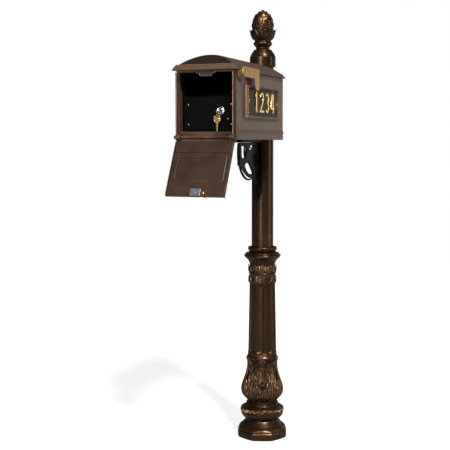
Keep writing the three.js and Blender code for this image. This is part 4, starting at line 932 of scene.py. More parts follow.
def cut_plate(outline, axis, low, high, roll, holes=()):
    """A flat outline with holes, from low to high along an axis, with rolled edges."""
    data = bpy.data.curves.new("outline", "CURVE")
    data.dimensions = "2D"
    data.fill_mode = "BOTH"
    data.extrude = ((high - low) / 2 - roll) * MM
    data.bevel_depth = roll * MM
    data.bevel_resolution = 2
    data.offset = -roll * MM
    flip = -1 if axis == "y" else 1
    for ring in (outline, *holes):
        spline = data.splines.new("POLY")
        spline.points.add(len(ring) - 1)
        for point, (a, b) in zip(spline.points, ring):
            point.co = (flip * a * MM, b * MM, 0, 1)
        spline.use_cyclic_u = True
    helper = bpy.data.objects.new("outline", data)
    bpy.context.scene.collection.objects.link(helper)
    graph = bpy.context.evaluated_depsgraph_get()
    mesh = bpy.data.meshes.new_from_object(helper.evaluated_get(graph))
    bpy.data.objects.remove(helper)
    across, upward, along = (Vector(v) for v in AXES[axis])
    middle = along * (low + high) / 2 * MM
    mesh.transform(Matrix.Translation(middle) @ Matrix((across, upward, along)).transposed().to_4x4())
    mesh = welded(mesh, 0.002)
    mesh.shade_smooth()
    normal_of = [abs(p.normal.dot(along)) > 0.999 for p in mesh.polygons]
    bm = bmesh.new()
    bm.from_mesh(mesh)
    bm.faces.ensure_lookup_table()
    for edge in bm.edges:
        if len(edge.link_faces) == 2:
            flats = [normal_of[f.index] for f in edge.link_faces]
            edge.smooth = flats[0] == flats[1] and edge.calc_face_angle(0) < math.radians(50)
    bm.to_mesh(mesh)
    bm.free()
    return mesh

# %% Helpers for drawn sections and slabs
def drawn(section, axis, low, high):
    """A closed section drawn out straight along an axis, with flat ends."""
    ring = np.array(section, float)
    a, b, c = (np.array(v, float) for v in AXES[axis])
    if axis == "y":
        a = -a
    rows = [ring[:, :1] * a + ring[:, 1:] * b + at * c for at in (low, high)]
    n = len(ring)
    faces = quads(2, n, wrap_cols=True) + [tuple(range(n)), tuple(n + k for k in range(n))]
    return welded(mesh_of(np.vstack(rows), faces), 0.001)


def slab(xs, ys, upper, lower):
    """A closed sheet over a grid: upper and lower give its heights. Returns points and faces."""
    rows, cols = len(ys), len(xs)
    gx, gy = np.meshgrid(xs, ys)
    top = np.stack([gx, gy, upper(gx, gy)], axis=2).reshape(-1, 3)
    low = np.stack([gx, gy, lower(gx, gy)], axis=2).reshape(-1, 3)
    n = rows * cols
    faces = quads(rows, cols) + [tuple(n + i for i in reversed(f)) for f in quads(rows, cols)]
    border = list(range(cols)) + [r * cols + cols - 1 for r in range(1, rows)]
    border += [(rows - 1) * cols + c for c in range(cols - 2, -1,
                                                    -1)] + [r * cols for r in range(rows - 2, 0, -1)]
    for a, b in zip(border, border[1:] + border[:1]):
        faces.append((b, a, n + a, n + b))
    return np.vstack([top, low]), faces

# %% Helpers for soft steps and round corners
def soft_step(value, width):
    """Rises smoothly from 0 to 1 as value passes through 0."""
    t = np.clip(value / width + 0.5, 0, 1)
    return t * t * (3 - 2 * t)


def rounded_field(x, y, half_x, half_y, corner):
    """Distance outside a rounded rectangle about the origin, negative inside."""
    qx, qy = np.abs(x) - half_x + corner, np.abs(y) - half_y + corner
    return np.hypot(np.maximum(qx, 0), np.maximum(qy, 0)) + np.minimum(np.maximum(qx, qy), 0) - corner

# %% Walls of the box
_, (wall_y0, wall_y1), (box_bottom, wall_top) = extent("left_side_panel")
right_x1 = extent("right_side_panel")[0][1]
BOX_HALF = right_x1 - 3.0
bead_z = box_bottom + 22


def wall_line(out, face, inner):
    """Section of a wall: out is the direction of its outer side. Skirt, rolled bead, then plain wall."""
    points = [(inner, box_bottom + 0.3, 0.3), (face + 1.2, box_bottom + 0.3, 0.8),
              (face + 1.2, bead_z - 0.4, 0.5),
              (face + 2.2, bead_z - 0.2, 0.4), (face + 3, bead_z + 1.4, 1.3),
              (face + 3, bead_z + 4.6, 1.6),
              (face + 1.4, bead_z + 6.4, 1.2), (face, bead_z + 8.5, 1.6), (face, wall_top, 0.3),
              (inner, wall_top, 0.3)]
    return rounded([(out * p[0], *p[1:]) for p in points], 1, 4)


for side, out in (("left", -1), ("right", 1)):
    wall = drawn(wall_line(out, BOX_HALF, BOX_HALF - 3), "y", wall_y0, wall_y1)
    show(f"{side}_side_wall", wall, box_paint, [f"{side}_side_panel"], sharp=24)
(back_x0, back_x1), (back_y0, back_y1), _ = extent("back_panel")
rear_wall = drawn(wall_line(1, back_y1 - 3, back_y0), "x", back_x0, back_x1)
show("rear_wall", rear_wall, box_paint, ["back_panel"], sharp=24)
# The frame takes the door's darker paint: painted shade under the roof's front overhang.
frame_mesh = eased(from_frame("front_frame"), 0.9)
show("front_frame_cast", frame_mesh, door_paint, ["front_frame"], sharp=None)
(frame_left, frame_right), _, (sill_z, header_z) = extent("front_frame")
# Two thin bright bars along the jambs, in the lighter bronze copy: painted highlights on the frame's edges.
highlight_bars = [bar([(x, FACE_Y + 0.4, sill_z + 26), (x, FACE_Y + 0.4, header_z - 6)], 1.7, sides=14)
         for x in (frame_left + 4.2, frame_right - 4.2)]
show("front_frame_rails", joined(*highlight_bars), worn_bronze)

# %% [markdown]
# ## The roof
# The arched roof overhangs the front. Both of its ends lean in: a flat fascia band runs along the foot of
# each end, and above it the gable is recessed behind a rolled rim. The roof is lofted from level rings,
# each a rectangle with round corners, and the rim is a bar along the arch's edge.

# %% Roof
lean_in = 48.0
roof_half, roof_rise, arch_radius = BOX_RIGHT - 0.1, ROOF_TOP - ROOF_FOOT, 148.0
swing_out = np.linspace(math.asin(104.4 / arch_radius), math.asin(2 / arch_radius), 40)
arch_half = arch_radius * np.sin(swing_out)
arch_rise = roof_rise - arch_radius * (1 - np.cos(swing_out))
levels = [(roof_half, 0, 0), (roof_half, 1.6, 0.01)]
levels = np.array(levels + [(x, z, (z / roof_rise) ** 1.35) for x, z in zip(arch_half, arch_rise)])
gable_depth = 3.0


def roof_ring(half, rise, lean, corner=2.5, steps=4):
    """One level of the roof as points."""
    y0, y1 = BOX_FRONT + lean * lean_in + gable_depth * min(1, rise / 6), BOX_REAR - lean * lean_in
    y1 -= gable_depth * min(1, rise / 6)
    corner = min(corner, half * 0.9)
    ring = []
    for cx, cy, start in ((half - corner, y1 - corner, 0), (corner - half, y1 - corner, 90),
                          (corner - half, y0 + corner, 180), (half - corner, y0 + corner, 270)):
        for i in range(steps + 1):
            t = math.radians(start + 90 * i / steps)
            ring.append((cx + corner * math.cos(t), cy + corner * math.sin(t), ROOF_FOOT + rise))
    return ring


roof_rows = [roof_ring(*level) for level in levels]
ring_size = len(roof_rows[0])
roof_faces = quads(len(roof_rows), ring_size, wrap_cols=True)
roof_faces += [tuple(range(ring_size)),
               tuple((len(roof_rows) - 1) * ring_size + k for k in range(ring_size))]
roof_mesh = welded(mesh_of(np.concatenate(roof_rows), roof_faces), 0.001)
show("roof_arch", roof_mesh, box_paint, ["roof"], sharp=30)

# %% Gable fields
# The recessed field of each gable is a thin sheet in a darker, redder tone: painted shade of the recess.
for end, y_out, inward in (("front", BOX_FRONT, 1), ("rear", BOX_REAR, -1)):
    rows = []
    for half, rise, lean in levels:
        if rise > 13 and half > 6:
            y = y_out + inward * (lean * lean_in + gable_depth - 0.9)
            rows.append([(x, y + inward * deep, ROOF_FOOT + rise) for x, deep in
                         ((4 - half, 0), (half - 4, 0), (half - 4, 1.5), (4 - half, 1.5))])
    faces = quads(len(rows), 4, wrap_cols=True) + [(0, 1, 2, 3),
                                                   tuple(len(rows) * 4 - k for k in (4, 3, 2, 1))]
    show(f"roof_{end}_field", welded(mesh_of(np.concatenate(rows), faces), 0.001), gable_paint)

# %% Fascia and rims

fascia_line = rounded([(-105, 0.6, 0.5), (-105, 2.2, 1), (-93, 14.6, 1), (93, 14.6, 1), (105, 2.2, 1),
                       (105, 0.6, 0.5)], 1, 3)
for end, y0, y1 in (("front", BOX_FRONT, BOX_FRONT + 10), ("rear", BOX_REAR - 10, BOX_REAR)):
    band = cut_plate([(x, ROOF_FOOT + z) for x, z in fascia_line], "y", y0, y1, 1.2)
    y_out = BOX_FRONT if end == "front" else BOX_REAR
    inward = 1 if end == "front" else -1
    rim = [(half - 2.0 * min(1, rise / 6), y_out + inward * (lean * lean_in + 2.4),
            ROOF_FOOT + rise - 2.3)
           for half, rise, lean in levels if rise > 4]
    rim = rim + [(-x, y, z) for x, y, z in reversed(rim)]
    rolled = bar(rim, 2.3, sides=14, material=box_paint)
    show(f"roof_{end}_fascia", band, fascia_paint, sharp=None)
    show(f"roof_{end}_rim", rolled, box_paint)
    ledge = drawn(rounded([(0, 0), (0, 3.2), (2.2, 3.2), (3, 1.5), (3, 0)], 0.8), "x", -92, 92)
    place = Matrix.Translation((0, (y_out + inward * 1.5) * MM, (ROOF_FOOT + 13.5) * MM))
    ledge.transform(place @ Matrix.Scale(inward, 4, (0, 1, 0)))
    show(f"roof_{end}_ledge", welded(ledge), box_paint)

# %% [markdown]
# ## The door
# The door is a shallow casting that hangs open on its rod. It is modelled shut, where it is a plain
# upright sheet, and then swung about the rod. Its inner face is a height field: rims at both sides, a
# groove near the hinge, and a raised panel with round corners inside a bead.

# %% Door
HINGE = np.array([0.0, -527.0, 1065.0])
DOOR_OPEN = math.radians(153)


def swung(mesh):
    """From the shut door's own place, measured from the rod, to where it hangs open."""
    mesh.transform(Matrix.Translation(Vector(HINGE * MM)) @ Matrix.Rotation(DOOR_OPEN, 4, "X"))
    return mesh


door_half, door_foot, door_end, inner_y, outer_y = 94.0, 11.0, 192.8, -4.0, -7.5
xs = np.unique(np.round(np.concatenate([np.linspace(-door_half, door_half, 107)] + [
    s * np.array([94, 93.7, 93.2, 92.4, 91.6, 91.1, 90.6, 90, 83.5, 82.7, 81.9, 81.1, 80.3,
                  79.5]) for s in (-1, 1)]), 3))
zs = np.unique(np.round(np.concatenate([
    np.linspace(door_foot, door_end, 103),
    [11.5, 13.4, 14, 14.6, 46, 47, 48, 49, 49.6, 50.4, 51, 52, 53, 54],
    [144, 145, 146, 147, 148, 149, 188.4, 189, 189.6, 190.2, 190.8, 191.5, 192.3]]), 3))


def door_inside(x, z):
    rim = soft_step(np.abs(x) - 91.1, 1.0) * soft_step(z - 14, 1.2) * soft_step(190.8 - z, 1.2)
    face = inner_y + 6.9 * rim - 1.2 * soft_step(np.abs(x) - 93.5, 1.2) * rim
    lip = 1.6 * soft_step(z - 189.2, 1.6) - 0.8 * soft_step(z - 192, 1.5)
    groove = -2.6 * np.exp(-((z - 50) / 1.0) ** 2)
    edges = 0.9 * (np.exp(-((z - 47.4) / 1.2) ** 2) + np.exp(-((z - 52.8) / 1.2) ** 2))
    panel = rounded_field(x, z - 99.8, 81, 44.2, 9)
    raised = 0.6 * soft_step(-panel - 1.2, 2.4) + 0.6 * np.exp(-((panel + 2.8) / 1.1) ** 2)
    inside = soft_step(90 - np.abs(x), 1.5)
    return face + lip * (1 - rim) + (groove + edges + raised) * inside


def door_outside(x, z):
    shade_field = rounded_field(x, z - 102, 84, 80, 12)
    return outer_y + soft_step(-shade_field, 3)

# %% Door sheet and its knuckle
door_verts, door_faces = slab(xs, zs, door_inside, door_outside)
door_verts = door_verts[:, [0, 2, 1]]
door_sheet = swung(welded(mesh_of(door_verts, door_faces), 0.001))
neck = rounded([(outer_y, 0.5, 1), (outer_y, 13, 0.3), (inner_y, 13, 0.3), (inner_y, 5.5, 1.2),
                (-1.2, 4.4, 0.8),
                (2.4, 3.8, 1.5), (4.5, 1.6, 1.8), (4.5, -1.8, 1.8), (2.2, -4.2, 1.8), (-2, -4.4, 1.8),
                (-5, -2.6, 1.8)], 1, 4)
neck_mesh = swung(eased(drawn(neck, "x", -79, 79), 0.5, 2))
show("mail_door_sheet", door_sheet, door_paint, ["mail_door"], body="mail_door", sharp=30)
show("mail_door_knuckle", neck_mesh, door_paint, body="mail_door", sharp=None)

# %% Strike, knob and their screws
show("strike_folded", eased(from_frame("strike_plate"), 0.5), zinc, ["strike_plate"], body="mail_door",
     sharp=None)
knob_x, strike_height, strike_inset = 25, 23, 1.5
strike_z = door_end - strike_inset - strike_height + strike_height / 2
on_strike = fasteners(slotted_head(3.3, 1.5, 0.35), [(0, 1.15, strike_z)], (0, 1, 0), zinc,
                      shank_radius=1.4, shank_length=5)
show("strike_screw_head", swung(on_strike), zinc, ["strike_screw"], body="mail_door", sharp=25)
on_knob = fasteners(slotted_head(4.4, 2.3, 0.5), [(knob_x, -3.6, strike_z)], (0, 1, 0), brass,
                    shank_radius=1.9, shank_length=9)
show("knob_screw_head", swung(on_knob), brass, ["knob_screw"], body="mail_door", sharp=25)
knob_line = rounded([(0, 0, 0), (6.2, 0, 0.4), (6, 1.2, 0.6), (4, 3.2, 1.5), (3.8, 6.5, 1.5),
                     (6.5, 9.5, 1.5),
                     (9, 12, 1.5), (8.8, 15.2, 1.8), (5.2, 17.6, 2), (0, 18, 0)], 1, 4, closed=False)
knob_mesh = turned(knob_line, sides=64)
knob_mesh.transform(Matrix.Translation((knob_x * MM, (outer_y - 0.3) * MM,
                                        strike_z * MM)) @ Matrix.Rotation(math.pi / 2, 4, "X"))
show("door_knob_turned", swung(knob_mesh), brass, ["door_knob"], body="mail_door")

# %% [markdown]
# Rods, pins and bolts that show only a little are plain turned bars with eased ends.

# %% Rods
def rod(axis, radius, low, high, centre, ease=0.6, sides=40):
    """A round rod along an axis through the point centre."""
    mesh = turned(rounded([(0, low, 0), (radius, low, ease), (radius, high, ease), (0, high, 0)], ease,
                          3, closed=False), sides=sides)
    spin = {"x": Matrix.Rotation(math.pi / 2, 4, "Y"), "y": Matrix.Rotation(-math.pi / 2, 4, "X"),
            "z": Matrix.Identity(4)}[axis]
    mesh.transform(Matrix.Translation(Vector(centre) * MM) @ spin)
    return mesh


(rod_x0, rod_x1), _, _ = extent("hinge_rod")
rod_mesh = joined(rod("x", 2.5, rod_x0, rod_x1, (0, -527, 1065)),
                  rod("x", 4.5, rod_x0, rod_x0 + 5.8, (0, -527, 1065), 1.4))
show("hinge_rod_round", rod_mesh, bronze, ["hinge_rod"])

# %% [markdown]
# ## Catch, insert and lock
# A bent bracket under the header holds a magnet. Behind it sits the black locking insert, whose small
# door carries a bright lock with two keys: one in the lock, and one hanging from an oval link.

# %% Catch
(catch_x0, catch_x1), (catch_y0, catch_y1), (catch_z0, catch_z1) = extent("catch_bracket")
hat_half, strip = extent("catch_magnet")[0][1] + 1.6, 2.6
hat = [(catch_x0, catch_z1), (-hat_half, catch_z1), (2.0 - hat_half, catch_z0 + strip),
       (hat_half - 2.0, catch_z0 + strip),
       (hat_half, catch_z1), (catch_x1, catch_z1), (catch_x1, catch_z1 - strip),
       (hat_half + strip, catch_z1 - strip),
       (hat_half + 0.6, catch_z0), (-hat_half - 0.6, catch_z0), (-hat_half - strip, catch_z1 - strip),
       (catch_x0, catch_z1 - strip)]
show("catch_bracket_bent", cut_plate(rounded(hat, 1.2, 3), "y", catch_y0, catch_y1, 0.6), chrome,
     ["catch_bracket"], sharp=None)
show("catch_magnet_block", eased(from_frame("catch_magnet"), 0.4), magnet_grey, ["catch_magnet"],
     sharp=None)

# %% Insert, its door and its rivets
for node in ("insert_shell", "insert_chute", "insert_support", "floor_panel", "mount_plate"):
    material = box_paint if node == "floor_panel" else black_steel
    show(node + "_folded", eased(from_frame(node), 0.4, 2), material, [node], sharp=None)
show("insert_door_leaf", eased(from_frame("insert_door"), 0.3, 2), black_steel, ["insert_door"],
     body="insert_door", sharp=None)
leaf_front = extent("insert_shell")[1][0]
rivet_places = [(-69, leaf_front, 1163), (-69, leaf_front, 1104), (60, leaf_front, 1120),
                (70, leaf_front, 1163), (70, leaf_front, 1104)]
rivets = fasteners(slotted_head(2.6, 1.1), rivet_places, (0, -1, 0), zinc, shank_radius=1.2,
                   shank_length=2)
show("insert_door_rivets", rivets, zinc, body="insert_door")

# %% Lock
lock_x, lock_z = 37.0, 1144.0


def about_lock(mesh, y=0.0):
    """Turns a mesh made about +Z so that it faces the front at the lock."""
    mesh.transform(Matrix.Translation((lock_x * MM, y * MM, lock_z * MM)) @ Matrix.Rotation(math.pi / 2,
                                                                                            4, "X"))
    return mesh


bezel_line = rounded([(5.75, 20, 0), (9, 20, 0.4), (9, 0, 0), (12.5, 0, 0.5), (12.5, -1.6, 0.8),
                      (11.3, -2.7, 1),
                      (10, -2.6, 0.6), (9.4, -2.0, 0.6), (8, -1.9, 0.8), (7.2, -2.9, 0.6),
                      (5.75, -3, 0.3)], 0.6, 4)
bezel_line = [(r, -z - leaf_front - 0.3 + 0) for r, z in bezel_line]
bezel = turned([(r, z) for r, z in reversed(bezel_line)], sides=96)
show("lock_bezel", welded(about_lock(bezel)), chrome, ["lock_body"], body="insert_door")
show("lock_nut_hex", eased(from_frame("lock_nut"), 0.5, 2), zinc, ["lock_nut"], body="insert_door",
     sharp=None)
show("lock_plug_core", eased(from_frame("lock_plug"), 0.35, 2), chrome, ["lock_plug"], body="lock_plug",
     sharp=None)
show("lock_cam_blade", eased(from_frame("lock_cam"), 0.4, 2), zinc, ["lock_cam"], body="lock_plug",
     sharp=None)

# %% [markdown]
# A key is cut from brass strip: a round bow with a hole, a shoulder, and a blade with a wavy bitting on
# one side. The hanging key has a thin raised ring laid on its bow. Both keys share one outline.

# %% Keys
_, (key_y0, _), (key_z0, key_z1) = extent("key")
bow_r, key_length, blade_half, hole_r, hole_in = 12.0, 50.0, 3.0, 2.4, 4.0
t = np.radians(np.linspace(-58, 238, 40))
bow = [(bow_r * math.cos(a), max(bow_r - 1 + bow_r * math.sin(a), 0)) for a in t]
right_side = [p for p in bow if p[0] > 0 and p[1] < 21]
left_side = [p for p in bow if p[0] <= 0 and p[1] < 21]
bits = [(3, 26), (3, 29), (1.1, 32), (2.9, 35.5), (2.2, 37.5), (3, 39.5), (1.2, 42), (2.2, 44.5),
        (2, 47)]
key_line = rounded([(*p, 0) for p in left_side + right_side] + [(blade_half + 1, 23, 0.4),
                                                                (blade_half, 26, 0.3)]
                   + [(*p, 0.6) for p in bits[1:]] + [(0, key_length, 1), (-blade_half, 47, 1),
                                                      (-blade_half, 26, 0.3),
                   (-blade_half - 1, 23, 0.4)], 0.5, 3)
t = np.linspace(0, 2 * math.pi, 24, endpoint=False)
key_hole = [(hole_r * math.cos(a), hole_in + hole_r * math.sin(a)) for a in t]
recess = [(7.2 * math.cos(a), 13.2 + 5.6 * math.sin(a)) for a in t]
lying = cut_plate([(lock_x + u, key_y0 + 1 + v) for u, v in key_line], "z", key_z0, key_z1, 0.3,
                  [[(lock_x + u, key_y0 + 1 + v) for u, v in key_hole]])
low_y = min(v.co.y for v in lying.vertices) / MM
lying.transform(Matrix.Translation((0, (key_y0 - low_y) * MM, 0)))
show("key_cut", lying, brass, ["key"], body="lock_plug", sharp=None)
_, (spare_y0, spare_y1), (_, spare_z1) = extent("spare_key")
hanging = cut_plate([(lock_x + u, spare_z1 - 1 - v) for u, v in key_line], "y", spare_y0, spare_y1, 0.3,
                    [[(lock_x + u, spare_z1 - 1 - v) for u, v in key_hole]])
high_z = max(v.co.z for v in hanging.vertices) / MM
hanging.transform(Matrix.Translation((0, 0, (spare_z1 - high_z) * MM)))
bow_ring = [(lock_x + 8.6 * math.cos(a), spare_y0 - 0.05, spare_z1 - 12.6 + 7.4 * math.sin(a)) for a in
            np.linspace(0, 2 * math.pi, 48, endpoint=False)]
coined = bar(bow_ring, 0.45, sides=8, material=brass, loop=True)
show("spare_key_cut", joined(hanging, coined), brass, ["spare_key"], body="spare_key", sharp=None)
_, (link_y0, link_y1), (link_z0, link_z1) = extent("key_link")
link_line = [(lock_x, (link_y0 + link_y1) / 2 + ((link_y1 - link_y0) / 2 - 0.6) * math.cos(a),
              (link_z0 + link_z1) / 2 + ((link_z1 - link_z0) / 2 - 0.6) * math.sin(a))
             for a in np.linspace(0, 2 * math.pi, 64, endpoint=False)]
show("key_link_wire", bar(link_line, 0.6, sides=12, material=zinc, loop=True), zinc, ["key_link"],
     body="spare_key")
pin_y = leaf_front + 0.75
(pin_x0, pin_x1), _, (pin_z0, pin_z1) = extent("insert_hinge_pin")
show("insert_hinge_pin_round", rod("z", 1, pin_z0, pin_z1, ((pin_x0 + pin_x1) / 2, pin_y, 0), 0.3, 20),
     zinc, ["insert_hinge_pin"])

# %% [markdown]
# ## The scroll bracket and its saddle
# A flat pierced web in the middle of the bracket ties the scrollwork together. Its outline is read from
# the frame's own bracket, and only its corners are softened. Round bars lie over it. Each is drawn as a
# smith bends it: a plain arc between two points, then a curl that winds in more and more tightly.

# %% Outline of a flat piece
def flat_loops(node, axis):
    """The edge loops of a frame piece's flat end along x, y or z (0, 1, 2), longest first."""
    mesh = from_frame(node)
    high = max(v.co[axis] for v in mesh.vertices)
    after = {}
    for face in mesh.polygons:
        if all(abs(mesh.vertices[i].co[axis] - high) < 1e-5 for i in face.vertices):
            ring = list(face.vertices)
            after.update(((a, b), b) for a, b in zip(ring, ring[1:] + ring[:1]))
    rim = {a: b for (a, b) in after if (b, a) not in after}
    loops = []
    while rim:
        here = min(rim)
        loop = []
        while here in rim:
            loop.append([c / MM for i, c in enumerate(mesh.vertices[here].co) if i != axis])
            here = rim.pop(here)
        loops.append(loop)
    return sorted(loops, key=lambda loop: -np.ptp(np.array(loop)[:, 0]))


web_line, *web_holes = flat_loops("scroll_bracket", 0)
web = cut_plate(rounded(web_line, 6, 6), "x", -3.2, 3.2, 1.4,
                [rounded(hole, 9, 6) for hole in web_holes])
show("scroll_bracket_web", web, black_paint, ["scroll_bracket"], sharp=None)
print("holes in the web:", len(web_holes))


# %% Scrolls bent to an arc and a curl
def scroll(start, end, bulge, curl=0.0, turns=0.0, count=28):
    """An arc from start to end that winds on into a curl. Negative turns curl the other way, as in an S."""
    chord = np.subtract(end, start)
    half = np.linalg.norm(chord) / 2
    radius = (half**2 + bulge**2) / (2 * abs(bulge))
    sweep = 2 * math.atan2(half, radius - abs(bulge))
    sense = math.copysign(1, bulge)
    heading = math.atan2(chord[1], chord[0]) + sense * np.linspace(sweep / 2, -sweep / 2, count)
    length = np.full(count, radius * sweep / count)
    if turns:
        step = 2 * math.pi * abs(turns) / count
        way = -sense * math.copysign(1, turns)
        heading = np.concatenate([heading, heading[-1] + way * step * np.arange(1, count + 1)])
        length = np.concatenate([length, curl * (1 - 0.6 * np.arange(count) / count) * step])
    steps = np.stack([np.cos(heading), np.sin(heading)], axis=1) * length[:, None]
    return np.vstack([start, start + np.cumsum(steps, axis=0)])


_, (_, corner_y), (_, corner_z) = extent("scroll_bracket")
scrolls = [  # start and end as (ahead of the post, below the arm), bulge, curl, turns, thickness
    ((200, 3), (197, 66), -4, 7, -0.4, 3.6),
    ((180, 3), (180, 50), 5, 12, 0.55, 3.6),
    ((136, 3), (138, 46), -5, 10, -0.6, 3.2),
    ((196, 62), (66, 122), -24, 0, 0, 4.4),
    ((68, 122), (8, 148), 5, 0, 0, 3.0),
    ((144, 72), (46, 112), -20, 14, 0.3, 3.4),
    ((22, 50), (82, 50), 30, 30, 0.45, 2.6),
    ((8, 4), (10, 92), -5, 24, -0.2, 3.0),
    ((64, 74), (6, 140), -8, 0, 0, 2.8),
    ((110, 3), (30, 6), -14, 9, 0.4, 2.8)]
bars = []
for start, end, bulge, curl, turns, thick in scrolls:
    line = scroll(start, end, bulge, curl, turns)
    taper = np.interp(np.linspace(0, 1, len(line)), [0, 0.4, 1], [0.75, 1, 0.5])
    bars.append(bar([(0, corner_y - ahead, corner_z - down) for ahead, down in line], thick * taper,
                    sides=14, material=black_paint))
show("scroll_bracket_bars", joined(*bars), black_paint)

# %% Saddle, arm and their bolts
show("post_saddle_cast", eased(from_frame("post_saddle"), 1.2), black_paint, ["post_saddle"],
     sharp=None)
show("support_arm_bar", eased(from_frame("support_arm"), 1.0), black_paint, ["support_arm"], sharp=None)
lyre = []
for side in (-1, 1):
    line = scroll((4, 4), (6, 112), -12, 6, -0.4)
    angle = np.radians(line[:, 0]) * side
    reach = np.where(line[:, 0] < 17, 43.7, 40.5)
    lyre.append(bar(np.stack([reach * np.sin(angle), -reach * np.cos(angle), corner_z - line[:, 1]],
                             axis=1), 2.0,
                    sides=12, material=black_paint))
show("post_saddle_scrolls", joined(*lyre), black_paint)
_, (saddle_y0, _), _ = extent("post_saddle")
saddle_bolts = fasteners(hex_head(6.8, 4), [(0, saddle_y0 - 0.2, 872), (0, saddle_y0 - 0.2, 1090)],
                         (0, -1, 0), black_steel, shank_radius=4, shank_length=10)
show("saddle_bolts", saddle_bolts, black_steel, ["saddle_bolt_lower", "saddle_bolt_upper"], sharp=25)
floor_top = extent("floor_panel")[2][1]
bolt_ys = [sum(extent(n)[1]) / 2 for n in ("box_bolt_rear", "box_bolt_front")]
box_bolts = fasteners(hex_head(6.8, 4), [(0, y, floor_top + 0.2) for y in bolt_ys], (0, 0, 1), zinc,
                      shank_radius=4, shank_length=16)
show("box_bolts", box_bolts, zinc, ["box_bolt_rear", "box_bolt_front"], sharp=25)

# %% Set screws
toward = (math.sin(SLEEVE_TURN), -math.cos(SLEEVE_TURN), 0)
set_places = [(44.2 * toward[0], 44.2 * toward[1], 1324), (50.0 * toward[0], 50.0 * toward[1], 671.5)]
set_screws = fasteners(socket_head(3.0, 1.8), set_places, toward, black_steel, shank_radius=2.6,
                       shank_length=5)
show("set_screws", set_screws, black_steel, ["collar_set_screw", "trim_set_screw"], sharp=25)

# %% [markdown]
# ## The number plate
# A cast frame stands on the right wall. Mouldings run along its top and foot, and a column of beads
# stands at each end, which a tree strings along a line like pearls, each a little tilted as in rope.

# %% Tree that strings beads on a line
bead_tree, given = new_tree("beads_on_a_line", [
    ("Beads", "Int", 10), ("Bead Radius", "Float", 0.0045), ("Tilt", "Float", 0.4),
    ("Flatness", "Float", 0.6)])
rail = put(bead_tree, "GeometryNodeMeshToCurve", {"Mesh": given["Geometry"]}).outputs[0]
stops = put(bead_tree, "GeometryNodeResampleCurve", {"Curve": rail, "Count": given["Beads"]}).outputs[0]
pearl = put(bead_tree, "GeometryNodeMeshUVSphere",
            {"Segments": 20, "Rings": 12, "Radius": given["Bead Radius"]}).outputs[0]
euler = put(bead_tree, "ShaderNodeCombineXYZ", {"X": given["Tilt"]}).outputs[0]
spin = put(bead_tree, "FunctionNodeEulerToRotation", {"Euler": euler}).outputs[0]
flat = put(bead_tree, "ShaderNodeCombineXYZ", {"X": given["Flatness"], "Y": 1.0, "Z": 1.12}).outputs[0]
strung = put(bead_tree, "GeometryNodeInstanceOnPoints",
             {"Points": stops, "Instance": pearl, "Rotation": spin, "Scale": flat})
end_tree(bead_tree, given, strung.outputs[0])

# %% Plate frame and beads
(frame_x0, frame_x1), (plate_y0, plate_y1), (plate_z0, plate_z1) = extent("plate_frame")
(sheet_x0, sheet_x1), (sheet_y0, sheet_y1), (sheet_z0, sheet_z1) = extent("number_plate")
window = [(sheet_y0 - 0.3, sheet_z0 - 0.3), (sheet_y1 + 0.3, sheet_z0 - 0.3),
          (sheet_y1 + 0.3, sheet_z1 + 0.3), (sheet_y0 - 0.3, sheet_z1 + 0.3)]
border = [(plate_y0, plate_z0, 2), (plate_y1, plate_z0, 2), (plate_y1, plate_z1, 2),
          (plate_y0, plate_z1, 2)]
plate_frame = cut_plate(rounded(border, 2, 4), "x", frame_x0, frame_x1, 0.9, [window])
ogee = rounded([(0, -4.6, 0.5), (1.4, -4.2, 0.8), (1.0, -2.6, 0.8), (3.0, -0.8, 1.4), (3.0, 1.6, 1.4),
                (1.2, 2.8, 0.6), (1.6, 4.2, 0.6), (0, 4.6, 0.5), (-1, 4.6, 0), (-1, -4.6, 0)], 1, 4)
mouldings = []
for z, flip in ((plate_z0 + 5.5, 1), (plate_z1 - 3.2, -0.62)):
    line = [(frame_x1 + out - 0.3, z + rise * flip) for out, rise in ogee]
    mouldings.append(drawn(line, "y", plate_y0 + 11, plate_y1 - 4))
end_strip = cut_plate(rounded([(plate_y0 + 0.3, plate_z0 + 0.4), (plate_y0 + 11, plate_z0 + 0.4),
                               (plate_y0 + 11, plate_z1 - 0.4),
                               (plate_y0 + 0.3, plate_z1 - 0.4)], 2, 4), "x", frame_x1 - 1.5,
                               frame_x1 + 1.8, 1.1)
show("plate_frame_cast", joined(plate_frame), box_paint, ["plate_frame"], sharp=None)
show("plate_frame_mouldings", joined(*mouldings), box_paint, sharp=30)
# The end strip takes the lighter bronze copy: a painted highlight on its lit face.
show("plate_frame_end_strip", end_strip, worn_bronze, sharp=None)
for name in ("rope_trim_front", "rope_trim_rear"):
    (bead_x0, bead_x1), (bead_y0, bead_y1), (bead_z0, bead_z1) = extent(name)
    y, radius = (bead_y0 + bead_y1) / 2, (bead_y1 - bead_y0) / 2 + 0.2
    spine = edge_line([(bead_x0 + 0.6, y, bead_z0 + 4.5), (bead_x0 + 0.6, y, bead_z1 - 4.5)])
    beads = grown(bead_tree, spine, bronze, beads=10, bead_radius=(radius - 0.7) * MM,
                  tilt=math.radians(24), flatness=0.8)
    bed = cut_plate(rounded([(y - 3, bead_z0), (y + 3, bead_z0), (y + 3, bead_z1), (y - 3, bead_z1)],
                            1.5, 3), "x",
                    bead_x0 - 0.4, bead_x0 + 1.2, 0.4)
    # The beads take the lighter bronze copy: a painted highlight.
    show(name + "_beads", beads, worn_bronze, [name], sharp=40)
    show(name + "_bed", bed, bronze, sharp=None)

# %% [markdown]
# The plate is hammered sheet in a dark olive, with a fine raised line round it. Its numerals are cast
# brass with rounded edges, drawn as strokes of one width.

